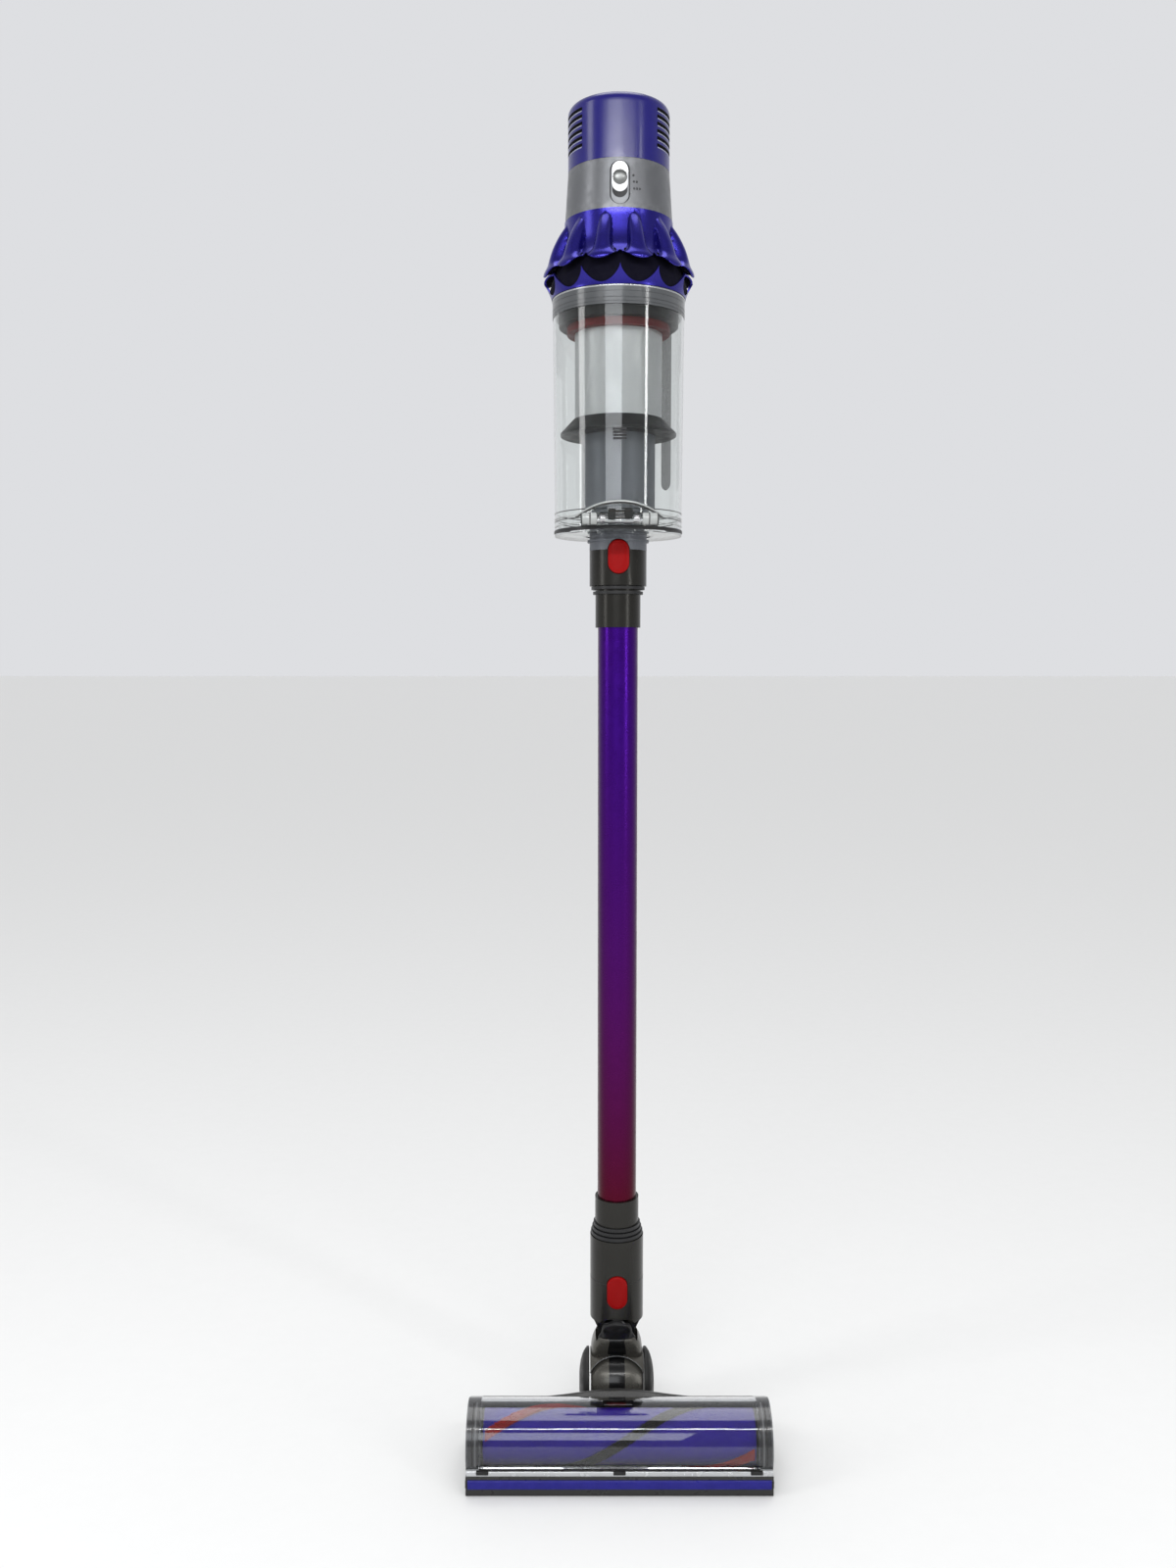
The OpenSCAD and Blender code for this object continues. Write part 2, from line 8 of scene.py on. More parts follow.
import bmesh
import bpy
import numpy as np
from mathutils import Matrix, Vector


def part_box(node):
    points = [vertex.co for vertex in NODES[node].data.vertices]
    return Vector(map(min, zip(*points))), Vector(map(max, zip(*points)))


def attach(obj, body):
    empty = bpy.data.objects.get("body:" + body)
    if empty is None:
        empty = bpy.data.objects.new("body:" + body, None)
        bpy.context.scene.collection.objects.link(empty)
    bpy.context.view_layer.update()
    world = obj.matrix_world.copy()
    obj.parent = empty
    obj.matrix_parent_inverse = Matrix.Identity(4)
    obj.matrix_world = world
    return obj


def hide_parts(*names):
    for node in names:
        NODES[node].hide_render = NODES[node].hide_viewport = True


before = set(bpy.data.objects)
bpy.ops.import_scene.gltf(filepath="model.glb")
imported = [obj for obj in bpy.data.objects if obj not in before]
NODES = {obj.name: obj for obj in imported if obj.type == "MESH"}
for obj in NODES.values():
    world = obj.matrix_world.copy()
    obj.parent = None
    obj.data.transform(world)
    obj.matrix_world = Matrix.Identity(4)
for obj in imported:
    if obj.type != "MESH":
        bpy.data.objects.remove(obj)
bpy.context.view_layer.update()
SEED = 11
MM = 0.001
TAU = 2 * math.pi


def middle(node):
    low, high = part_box(node)
    return (low + high) / 2


AXIS_Y = middle("wand_tube").y


# ---------------------------------------------------------------- materials

def node_at(tree, kind, **inputs):
    n = tree.nodes.new(kind)
    for key, value in inputs.items():
        n.inputs[key.replace("_", " ")].default_value = value
    return n


def mixed(tree, factor, a, b):
    """A colour mix of two colours or sockets by a factor socket."""
    mix = tree.nodes.new("ShaderNodeMix")
    mix.data_type = "RGBA"
    tree.links.new(factor, mix.inputs[0])
    for socket, value in ((mix.inputs[6], a), (mix.inputs[7], b)):
        if isinstance(value, bpy.types.NodeSocket):
            tree.links.new(value, socket)
        else:
            socket.default_value = (*value, 1)
    return mix.outputs[2]


def ranged(tree, value, low, high, from_low=0.0, from_high=1.0):
    m = node_at(tree, "ShaderNodeMapRange", From_Min=from_low, From_Max=from_high,
                To_Min=low, To_Max=high)
    tree.links.new(value, m.inputs[0])
    return m.outputs[0]


def maths(tree, operation, a, b=None):
    m = tree.nodes.new("ShaderNodeMath")
    m.operation = operation
    for socket, value in zip(m.inputs, (a, b)):
        if isinstance(value, bpy.types.NodeSocket):
            tree.links.new(value, socket)
        elif value is not None:
            socket.default_value = value
    return m.outputs[0]


def axis_of(tree, axis):
    """One object coordinate, which is the row frame's, as a socket."""
    coord = tree.nodes.new("ShaderNodeTexCoord")
    split = tree.nodes.new("ShaderNodeSeparateXYZ")
    tree.links.new(coord.outputs["Object"], split.inputs[0])
    return split.outputs["XYZ".index(axis)]


def noise(tree, scale, detail=3.0, stretch=(1, 1, 1)):
    coord = tree.nodes.new("ShaderNodeTexCoord")
    mapping = node_at(tree, "ShaderNodeMapping", Scale=stretch)
    tree.links.new(coord.outputs["Object"], mapping.inputs[0])
    n = node_at(tree, "ShaderNodeTexNoise", Scale=scale, Detail=detail, Roughness=0.6)
    tree.links.new(mapping.outputs[0], n.inputs["Vector"])
    return n.outputs[0]


def surface(name, color, rough, metallic=0.0, coat=0.0, spread=0.12, patch=45, grain=0.05,
            grain_scale=1800, stretch=(1, 1, 1), wear=0.0, alpha=1.0, tint=None,
            specular=0.5, glass=0.0, coat_rough=0.06, smudge=1.0):
    """A moulded, metal or rubber surface: patchy colour, uneven gloss and a fine grain."""
    m = bpy.data.materials.new(name)
    m.use_nodes = True
    tree = m.node_tree
    shader = tree.nodes["Principled BSDF"]
    shader.inputs["Metallic"].default_value = metallic
    shader.inputs["Coat Weight"].default_value = coat
    shader.inputs["Coat Roughness"].default_value = coat_rough
    shader.inputs["Specular IOR Level"].default_value = specular
    shader.inputs["Transmission Weight"].default_value = glass
    shader.inputs["IOR"].default_value = 1.49
    patches = noise(tree, patch)
    dark = [c * (1 - spread) for c in color]
    light = [min(1, c * (1 + spread) + 0.004) for c in color]
    body = mixed(tree, patches, dark, light)
    if tint:
        body = tint(tree, body)
    if wear:
        worn = [min(1, c * 1.6 + 0.1) for c in color]
        body = mixed(tree, edge_mask(tree, wear), body, worn)
    tree.links.new(body, shader.inputs["Base Color"])
    smudges = noise(tree, patch * 2.3, 5.0)
    tree.links.new(ranged(tree, smudges, rough * (1 - 0.22 * smudge),
                          min(1, rough * (1 + 0.3 * smudge)), 0.3, 0.7),
                   shader.inputs["Roughness"])
    if grain:
        bump = node_at(tree, "ShaderNodeBump", Strength=grain, Distance=0.0004)
        tree.links.new(noise(tree, grain_scale, 2.0, stretch), bump.inputs["Height"])
        tree.links.new(bump.outputs[0], shader.inputs["Normal"])
    shader.inputs["Alpha"].default_value = alpha
    return m


def edge_mask(tree, strength):
    """Bright along the convex edges, broken up by noise."""
    geometry = tree.nodes.new("ShaderNodeNewGeometry")
    sharp = ranged(tree, geometry.outputs["Pointiness"], 0, strength, 0.52, 0.6)
    return maths(tree, "MULTIPLY", sharp, ranged(tree, noise(tree, 180), 0, 1, 0.4, 0.62))


def anodised_with_rim_shade(tree, body):
    """Violet at the top of the tube, turning to dark red downwards, with painted shade at its
    sides.
    """
    low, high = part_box("wand_tube")
    height = ranged(tree, axis_of(tree, "Z"), 0, 1, low.z + 0.02, high.z - 0.12)
    deep = mixed(tree, height, (0.085, 0.0004, 0.008), (0.045, 0.0008, 0.22))
    # Painted shade: the sides of the tube darken where they turn away from view.
    rim = node_at(tree, "ShaderNodeLayerWeight", Blend=0.35)
    edge = mixed(tree, height, (0.035, 0.0005, 0.002), (0.06, 0.0006, 0.014))
    return mixed(tree, rim.outputs["Facing"], deep, edge)


def steel_mesh(tree, body):
    """A fine punched mesh wrapped round the shroud."""
    turn = maths(tree, "ARCTAN2", axis_of(tree, "X"),
                 maths(tree, "SUBTRACT", axis_of(tree, "Y"), AXIS_Y))
    columns = maths(tree, "SINE", maths(tree, "MULTIPLY", turn, 190))
    rows = maths(tree, "SINE", maths(tree, "MULTIPLY", axis_of(tree, "Z"), 5200))
    holes = ranged(tree, maths(tree, "MULTIPLY", columns, rows), 0, 1, 0.1, 0.4)
    return mixed(tree, holes, body, (0.13, 0.135, 0.14))


MATERIALS = {
    "cap": surface("cap_gloss_blue", (0.0055, 0.0032, 0.135), 0.24, coat=0.12, spread=0.15,
                   grain=0.0, smudge=0.4),
    # Painted shade: near-black for the insides of the cap's slots and for the duct mouth in the
    # head.
    "recess_painted_shade": surface("recess_painted_shade", (0.004, 0.004, 0.006), 0.7),
    # Painted highlight: pale blue-grey for the lit lower rims of the cap's slots.
    "slot_rim_painted_highlight": surface("slot_rim_painted_highlight", (0.3, 0.31, 0.42), 0.3),
    "housing": surface("housing_metallic_grey", (0.17, 0.175, 0.185), 0.36, metallic=0.7,
                       grain=0.1, grain_scale=2600, spread=0.06, wear=0.25),
    "bezel": surface("bezel_grey", (0.3, 0.31, 0.33), 0.35),
    "outline": surface("slider_outline", (0.012, 0.012, 0.014), 0.5),
    "slider": surface("slider_white", (0.78, 0.79, 0.8), 0.28, coat=0.3, spread=0.04),
    "knob": surface("knob_silver", (0.2, 0.205, 0.2), 0.34, metallic=0.9, spread=0.1),
    "cyclone": surface("cyclone_metallic_violet", (0.022, 0.016, 0.25), 0.27, metallic=0.88,
                       coat=0.2, spread=0.03, grain=0.0, coat_rough=0.14, smudge=0.1),
    # Painted shade: near-black for the openings under the cyclone's lips and the space inside its
    # ring.
    "cyclone_painted_shade": surface("cyclone_recess_painted_shade", (0.002, 0.0015, 0.008), 0.9, specular=0.1),
    "bright": surface("bright_ring", (0.5, 0.51, 0.52), 0.25, metallic=0.9,
                      stretch=(1, 1, 30)),
    "grey": surface("moulded_dark_grey", (0.024, 0.023, 0.02), 0.25, metallic=0.55,
                    grain=0.01, spread=0.04, specular=0.4, smudge=0.3),
    "grip": surface("grip_soft_grey", (0.028, 0.0285, 0.03), 0.55, grain=0.35,
                    grain_scale=1500, wear=0.15),
    "battery": surface("battery_grey", (0.035, 0.036, 0.038), 0.42, grain=0.2, wear=0.2),
    "red": surface("key_red", (0.28, 0.0003, 0.0005), 0.4, spread=0.06, specular=0.12,
                   grain=0.03),
    "collar_clear": surface("collar_smoke", (0.085, 0.09, 0.095), 0.16, coat=0.4, alpha=0.93),
    "clear": surface("clear_plastic", (0.93, 0.95, 0.94), 0.015, spread=0.01, grain=0.0,
                     glass=1.0),
    "window": surface("window_plastic", (0.86, 0.87, 0.88), 0.015, spread=0.01, grain=0.0,
                      glass=1.0),
    "clear_thick": surface("clear_plastic_thick", (0.88, 0.9, 0.89), 0.02, spread=0.02,
                           grain=0.0, glass=1.0),
    # Painted highlight: a pale, part-clear tone for the lit edges of clear plastic.
    "clear_painted_highlight": surface("clear_plastic_painted_highlight", (0.5, 0.52, 0.51), 0.08, coat=1.0,
                          spread=0.05, grain=0.0, alpha=0.75),
    "clear_dark": surface("clear_plastic_shade", (0.02, 0.02, 0.018), 0.1, coat=1.0,
                          spread=0.05, grain=0.0, alpha=0.8),
    "mesh": surface("shroud_steel_mesh", (0.78, 0.79, 0.8), 0.5, metallic=0.7,
                    tint=steel_mesh, spread=0.05, patch=30),
    "shroud": surface("shroud_dark", (0.008, 0.009, 0.0085), 0.5, specular=0.3),
    "ring_red": surface("shroud_red", (0.14, 0.004, 0.003), 0.5, specular=0.3),
    "inner": surface("inner_tube_grey", (0.15, 0.16, 0.18), 0.45, metallic=0.4, spread=0.05),
    "black": surface("rubber_black", (0.006, 0.006, 0.007), 0.42, grain=0.1),
    "gloss_black": surface("gloss_black", (0.003, 0.003, 0.0033), 0.2, coat=0.15, grain=0.0,
                           spread=0.1, specular=0.35),
    "tube": surface("tube_anodised", (0.1, 0.01, 0.2), 0.27, metallic=0.85, tint=anodised_with_rim_shade,
                    grain=0.02, grain_scale=3000, stretch=(1, 1, 0.02), spread=0.05),
    "yoke": surface("yoke_grey", (0.09, 0.086, 0.075), 0.28, metallic=0.5, grain=0.01,
                    spread=0.04, specular=0.4, smudge=0.3),
    "wheel": surface("wheel_rubber", (0.014, 0.014, 0.0135), 0.5, grain=0.1, spread=0.06,
                     specular=0.3),
    "chassis": surface("chassis_grey", (0.024, 0.0235, 0.0225), 0.3, grain=0.03,
                       spread=0.05, specular=0.4),
    "rib": surface("end_rib_grey", (0.09, 0.092, 0.096), 0.25, coat=0.4, spread=0.06),
    "trim": surface("trim_rail", (0.52, 0.53, 0.54), 0.24, metallic=0.35),
    "bumper": surface("bumper_blue", (0.005, 0.003, 0.2), 0.34, spread=0.2, patch=90,
                      grain=0.06, wear=0.03, specular=0.35),
    "core": surface("brush_core_violet", (0.02, 0.003, 0.3), 0.55, spread=0.18, patch=120,
                    grain=0.12, specular=0.2),
    "bristle_red": surface("bristle_red", (0.4, 0.004, 0.003), 0.8, spread=0.35, patch=600,
                           specular=0.1),
    "bristle_black": surface("bristle_black", (0.003, 0.003, 0.003), 0.85, spread=0.3,
                             specular=0.1),
    "rib_smoke": surface("rib_smoke", (0.05, 0.052, 0.05), 0.3, alpha=0.75),
    "end_smoke": surface("end_smoke", (0.03, 0.031, 0.033), 0.2, coat=0.5, alpha=0.9),
    "filter": surface("filter_white", (0.6, 0.6, 0.59), 0.9),
    "steel": surface("steel", (0.5, 0.5, 0.51), 0.25, metallic=1.0),
    "gold": surface("contact_gold", (0.7, 0.45, 0.12), 0.3, metallic=1.0),
    "light": surface("charge_light", (0.25, 0.5, 0.8), 0.25, coat=0.5),
    "board": surface("board_green", (0.008, 0.09, 0.03), 0.4),
    "mark": surface("print_mark", (0.012, 0.012, 0.014), 0.5),
    "wire": surface("wire_orange", (0.5, 0.15, 0.03), 0.4),
}


# ---------------------------------------------------------------- mesh helpers

def make(name, verts, faces, body, materials, sharp=35):
    """A smooth-shaded mesh piece that rides on a body."""
    mesh = bpy.data.meshes.new(name)
    mesh.from_pydata([tuple(v) for v in verts], [], faces)
    mesh.validate()
    piece = bpy.data.objects.new(name, mesh)
    bpy.context.collection.objects.link(piece)
    for key in materials:
        mesh.materials.append(MATERIALS[key])
    mesh.shade_smooth()
    mesh.set_sharp_from_angle(angle=math.radians(sharp))
    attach(piece, body)
    return piece


def outward(piece):
    """Turns the faces of a closed piece to face out."""
    b = bmesh.new()
    b.from_mesh(piece.data)
    bmesh.ops.recalc_face_normals(b, faces=b.faces)
    b.to_mesh(piece.data)
    b.free()
    return piece


def bevelled(piece, width, segments=3, angle=35):
    m = piece.modifiers.new("bevel", "BEVEL")
    m.width = width
    m.segments = segments
    m.limit_method = "ANGLE"
    m.angle_limit = math.radians(angle)
    m.harden_normals = True
    return piece


def arc(centre, radius, start, end, count):
    """Points along an arc in a plane, with the angles in degrees."""
    return [(centre[0] + radius * math.cos(math.radians(a)),
             centre[1] + radius * math.sin(math.radians(a)))
            for a in np.linspace(start, end, count)]


def around(radius, angle, z):
    """A point at a radius and an angle in degrees about the wand's middle line."""
    a = math.radians(angle)
    return (radius * math.cos(a), AXIS_Y + radius * math.sin(a), z)


def shrunk(ring, share, lift):
    """A ring of points drawn in towards the wand's middle line and lifted, in mm."""
    return [(x * share, AXIS_Y + (y - AXIS_Y) * share, z + lift * MM) for x, y, z in ring]


def squared(value, power):
    """Pushes a sine or cosine outwards, for a cross-section between round and square."""
    return math.copysign(abs(value) ** power, value)


def softened(points, radius, count=4):
    """A closed outline with its corners rounded."""
    out = []
    n = len(points)
    for i in range(n):
        a, b, c = (Vector((*points[(i + k) % n], 0)) for k in (-1, 0, 1))
        cut = min(radius, (a - b).length * 0.45, (c - b).length * 0.45)
        p, q = b + (a - b).normalized() * cut, b + (c - b).normalized() * cut
        for t in np.linspace(0, 1, count):
            point = p * (1 - t) ** 2 + b * 2 * t * (1 - t) + q * t ** 2
            out.append((point.x, point.y))
    return out


def lathe(name, outline, body, materials, centre=None, segments=160, sharp=35):
    """A closed outline of (radius, height) turned about the vertical line at centre."""
    cx, cy = centre or (0, AXIS_Y)
    verts, faces = [], []
    for r, z in outline:
        for i in range(segments):
            a = TAU * i / segments
            verts.append((cx + r * math.cos(a), cy + r * math.sin(a), z))
    rows = len(outline)
    for j in range(rows):
        k = (j + 1) % rows
        for i in range(segments):
            n = (i + 1) % segments
            faces.append((j * segments + i, j * segments + n, k * segments + n,
                          k * segments + i))
    return outward(make(name, verts, faces, body, materials, sharp))


def lathe_x(name, outline, centre, body, materials, segments=96, face_material=None):
    """A closed outline of (radius, x) turned about a line along X through (y, z)."""
    rows = [[(x, centre[0] + r * math.cos(TAU * i / segments),
              centre[1] + r * math.sin(TAU * i / segments)) for i in range(segments)]
            for r, x in outline]
    return outward(grid(name, rows + [rows[0]], body, materials,
                        face_material=face_material))


def grid(name, points, body, materials, closed=True, sharp=35, face_material=None):
    """A sheet through rows of points; each row closes on itself when closed."""
    rows, columns = len(points), len(points[0])
    verts = [p for row in points for p in row]
    faces = []
    for j in range(rows - 1):
        for i in range(columns if closed else columns - 1):
            n = (i + 1) % columns
            faces.append((j * columns + i, j * columns + n, (j + 1) * columns + n,
                          (j + 1) * columns + i))
    piece = make(name, verts, faces, body, materials, sharp)
    if face_material:
        for polygon in piece.data.polygons:
            polygon.material_index = face_material(polygon.center)
    return piece


def prism(name, outline, axis, low, high, body, materials, sharp=35, bevel=0.0):
    """A closed outline given a thickness along X, Y or Z between two places."""
    def place(a, b, t):
        return {"X": (t, a, b), "Y": (a, t, b), "Z": (a, b, t)}[axis]
    n = len(outline)
    verts = [place(a, b, low) for a, b in outline] + [place(a, b, high) for a, b in outline]
    faces = [tuple(range(n)), tuple(range(2 * n - 1, n - 1, -1))]
    faces += [(i, (i + 1) % n, n + (i + 1) % n, n + i) for i in range(n)]
    piece = outward(make(name, verts, faces, body, materials, sharp))
    if bevel:
        bevelled(piece, bevel)
    return piece


def oval(half_w, half_h, centre=(0, 0), count=16):
    """An upright outline with round ends."""
    straight = half_h - half_w
    top = arc((centre[0], centre[1] + straight), half_w, 0, 180, count)
    bottom = arc((centre[0], centre[1] - straight), half_w, 180, 360, count)
    return top + bottom


def finish_node(node, key, bevel=0.0, sharp=35):
    """Gives a CAD node its material and, when a bevel width is given, softened edges."""
    piece = NODES[node]
    for slot in piece.material_slots:
        slot.material = MATERIALS[key]
    if bevel:
        bevelled(piece, bevel, 2, sharp)
    return piece


# ---------------------------------------------------------------- hand unit

def filter_cap():
    low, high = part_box("filter_cap")
    radius, shoulder, pitch = (high.x - low.x) / 2, 7 * MM, 5.6 * MM
    first = low.z + 12.4 * MM
    slots = [first + pitch * i for i in range(6)]
    edges = [low.z, low.z + 0.8 * MM, low.z + 6 * MM]
    for z in slots:
        edges += [z - 0.8 * MM, z, z + 0.25 * MM, z + 2.4 * MM, z + 2.7 * MM]
    wall = [(radius, z) for z in edges] + [
        (radius - shoulder + shoulder * math.cos(a), high.z - shoulder + shoulder * math.sin(a))
        for a in np.linspace(0, math.pi / 2, 9)]
    wall += [(radius - shoulder - (radius - shoulder) * t, high.z - 0.3 * MM * t)
             for t in (0.25, 0.6, 0.985)]
    columns, front = 360, math.radians(47)
    points = []
    for r, z in wall:
        inside = any(s + 0.2 * MM <= z <= s + 2.5 * MM for s in slots) and r == radius
        line = []
        for i in range(columns):
            a = TAU * i / columns
            off = abs((a + math.pi / 2 + math.pi) % TAU - math.pi)
            rib = any(abs(off - math.radians(d)) < 0.035 for d in (92, 137))
            cut = 2.6 * MM if inside and off > front and not rib else 0
            line.append(around(r - cut, math.degrees(a), z))
        points.append(line)
    inner = [around(radius - 3 * MM, 360 * i / columns, low.z) for i in range(columns)]
    points.insert(0, inner)

    def deep(centre):
        off = math.hypot(centre.x, centre.y - AXIS_Y)
        turn = abs(math.atan2(centre.x, AXIS_Y - centre.y))
        # Painted shade: faces inside the slots are near-black.
        if off < radius - 1.2 * MM and low.z + MM < centre.z < high.z - 9 * MM:
            return 1
        # Painted highlight: the lip just below each slot on the front is pale, as if lit.
        rim = any(0 < s - centre.z < 0.8 * MM for s in slots)
        return 2 if rim and turn > front else 0
    cap = grid("filter_cap_shell", points, "filter_unit",
               ["cap", "recess_painted_shade", "slot_rim_painted_highlight"], face_material=deep)
    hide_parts("filter_cap")


def mode_controls():
    finish_node("motor_housing", "housing", 0.3 * MM)
    finish_node("mode_bezel", "bezel")
    low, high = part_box("mode_slider")
    mid = (low + high) / 2
    slider = prism("mode_slider_plate", oval((high.x - low.x) / 2, (high.z - low.z) / 2,
                                             (mid.x, mid.z), 20),
                   "Y", low.y, high.y, "slider", ["slider"], bevel=0.5 * MM)
    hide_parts("mode_slider")
    recess = middle("mode_bezel")
    half_w = (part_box("mode_bezel")[1].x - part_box("mode_bezel")[0].x) / 2
    half_h = (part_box("mode_bezel")[1].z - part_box("mode_bezel")[0].z) / 2
    rows = [[(x, recess.y + lift * MM, z) for x, z in
             oval(half_w + grow * MM, half_h + grow * MM, (recess.x, recess.z), 24)]
            for grow, lift in ((-0.9, -0.2), (-0.9, -0.6), (0.1, -0.6), (0.1, -0.2))]
    grid("slider_outline", rows, "hand_unit", ["outline"])
    prism("slider_shadow_step", oval((high.x - low.x) / 2 - 0.3 * MM, (high.z - low.z) / 2,
                                     (mid.x, mid.z - 4.2 * MM), 20),
          "Y", recess.y - 0.6 * MM, recess.y - 0.45 * MM, "hand_unit",
          ["outline"])
    low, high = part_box("mode_knob")
    mid, radius, rows = (low + high) / 2, (high.x - low.x) / 2, []
    for t in np.linspace(0, 1, 9):
        r = radius * math.sin(math.pi / 2 * (0.02 + 0.98 * t))
        y = low.y + (high.y - low.y) * (1 - math.cos(math.pi / 2 * t)) * 0.8
        rows.append([(mid.x + r * math.cos(TAU * i / 48), y, mid.z + r * math.sin(TAU * i / 48))
                     for i in range(48)])
    rows.append([(x, high.y, z) for x, _, z in rows[-1]])
    knob = grid("mode_knob_dome", rows, "slider", ["knob"])
    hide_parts("mode_knob")
    low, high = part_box("motor_housing")
    marks = [(10.8, 25.5, 1), (11.2, 20.5, 2), (11.4, 15.2, 3)]
    for row, (x, h, count) in enumerate(marks):
        for i in range(count):
            dot_mark(f"level_dot_{row}_{i}", x * MM + 2.2 * MM * i, low.z + h * MM)


def dot_mark(name, x, z):
    """A printed dot that stands proud of the curved housing by a hair."""
    low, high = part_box("motor_housing")
    part = (z - low.z) / (high.z - low.z)
    radius = 44.5 * MM + (41.9 - 44.5) * MM * part
    y = AXIS_Y - math.sqrt(radius ** 2 - x ** 2) - 0.2 * MM
    ring = [(x + 0.95 * MM * math.cos(a), z + 0.95 * MM * math.sin(a))
            for a in np.linspace(0, TAU, 13)[:-1]]
    prism(name, ring, "Y", y, y + 0.6 * MM, "hand_unit", ["mark"])


LOBES = [a for a in (15 + 30 * k for k in range(12)) if abs(a - 90) > 20]
HALF_LOBE = math.radians(15)
BIN_RADIUS = 54 * MM


def lobe_offset(angle):
    """Signed angle to the nearest lobe, in radians."""
    best = min(LOBES, key=lambda a: abs((angle - a + 180) % 360 - 180))
    return math.radians((angle - best + 180) % 360 - 180)


HEIGHTS = (0, 2, 4, 6, 8, 10, 12, 15, 19, 23, 27, 31, 35, 38, 41, 43, 47)
CREST = (63.4, 63.7, 63.2, 62.2, 61.0, 60.2, 59.7, 59.0, 57.8, 56.4, 54.6, 52.6, 50.3, 48.3,
         46.2, 45.1, 44.9)
PANEL = (56.4, 56.3, 56.1, 55.7, 55.0, 53.8, 52.2, 50.2, 48.4, 47.3, 46.6, 46.1, 45.7, 45.4,
         45.15, 45.0, 44.9)
HALF_WIDTH = (16.5, 15.9, 14.6, 12.7, 10.6, 8.9, 7.9, 7.2, 6.8, 6.5, 6.2, 5.9, 5.5, 5.0, 3.9,
              0.4, 0.01)


def eased(h, table):
    """A table's value at a height, with its corners rounded off."""
    return sum(np.interp(h + d, HEIGHTS, table) for d in (-1.4, -0.7, 0, 0.7, 1.4)) / 5


def behind(angle, half):
    """Whether an angle is within half of the spine at the back, in degrees."""
    return abs((angle - 90 + 180) % 360 - 180) < half


def shell_reach(phi, h):
    """Radius of the fluted shell at an angle from a lobe's middle and a height, in mm."""
    crest, panel, half = (eased(h, t) for t in (CREST, PANEL, HALF_WIDTH))
    side = abs(panel * math.sin(phi)) / half
    return panel + (crest - panel) * math.sqrt(max(0, 1 - side ** 2.6)) ** 1.15


def cyclone_shell():
    low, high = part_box("cyclone_shell")
    tall, rows, columns, points = (high.z - low.z) / MM, 70, 720, []
    for j in range(rows + 1):
        line = []
        for i in range(columns):
            angle = 360 * i / columns
            phi = lobe_offset(angle)
            away = min(abs(phi) / HALF_LOBE, 1)
            start = 0.4 + 9.2 * away ** 2
            h = start + (tall - start) * j / rows
            reach = eased(h, PANEL) if behind(angle, 24) else shell_reach(phi, h)
            front = 3.4 - 3.2 * math.cos(math.radians(angle)) ** 2
            h += front * (1 - h / tall) ** 1.4
            line.append(around(reach * MM, angle, low.z + h * MM))
        points.append(line)
    foot = points[0]
    edge = shrunk(foot, 0.962, 0.7)
    shell = grid("cyclone_shell_fluted",
                 [edge, shrunk(foot, 0.972, 0), shrunk(foot, 0.986, -0.4)] + points,
                 "hand_unit", ["cyclone"], sharp=70)
    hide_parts("cyclone_shell")
    # Painted shade: a near-black band under the lobes' lips stands for the dark openings beneath
    # them.
    grid("cyclone_shell_mouths", [shrunk(foot, 0.84, 7), shrunk(foot, 0.93, 3), edge],
         "hand_unit", ["cyclone_painted_shade"])


def cyclone_lower_ring():
    low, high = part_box("cyclone_lower_ring")
    columns, rows, tall, points = 720, 14, 14.2, []
    for j in range(rows + 1):
        line = []
        for i in range(columns):
            angle = 360 * i / columns
            phi = abs(lobe_offset(angle)) / HALF_LOBE
            whole = behind(angle, 22) or phi > 1
            dip = 0 if whole else 12.4 * math.cos(math.pi / 2 * phi) ** 0.62
            h = (tall - dip) * j / rows
            r = 55.8 + 6.4 * (h / tall) ** 1.4
            line.append(around(r * MM, angle, low.z + h * MM))
        points.append(line)
    rim = [shrunk(points[-1], 0.97, 0.1), shrunk(points[-1], 0.93, -6)]
    ring = grid("cyclone_ring_scalloped", points + rim, "hand_unit",
                ["cyclone"], sharp=50)
    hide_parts("cyclone_lower_ring")
    # Painted shade: a near-black wall inside the scalloped ring stands for the dark space under
    # the cyclone.
    inner = [(49.9, -4), (51.5, -4), (55.1, 0.5), (57.4, 7), (55.6, 13), (50, 26), (46, 33),
             (44, 33), (49.9, 13)]
    lathe("cyclone_inner_wall", [(r * MM, high.z + (h - 14.7) * MM) for r, h in inner],
          "hand_unit", ["cyclone_painted_shade"])


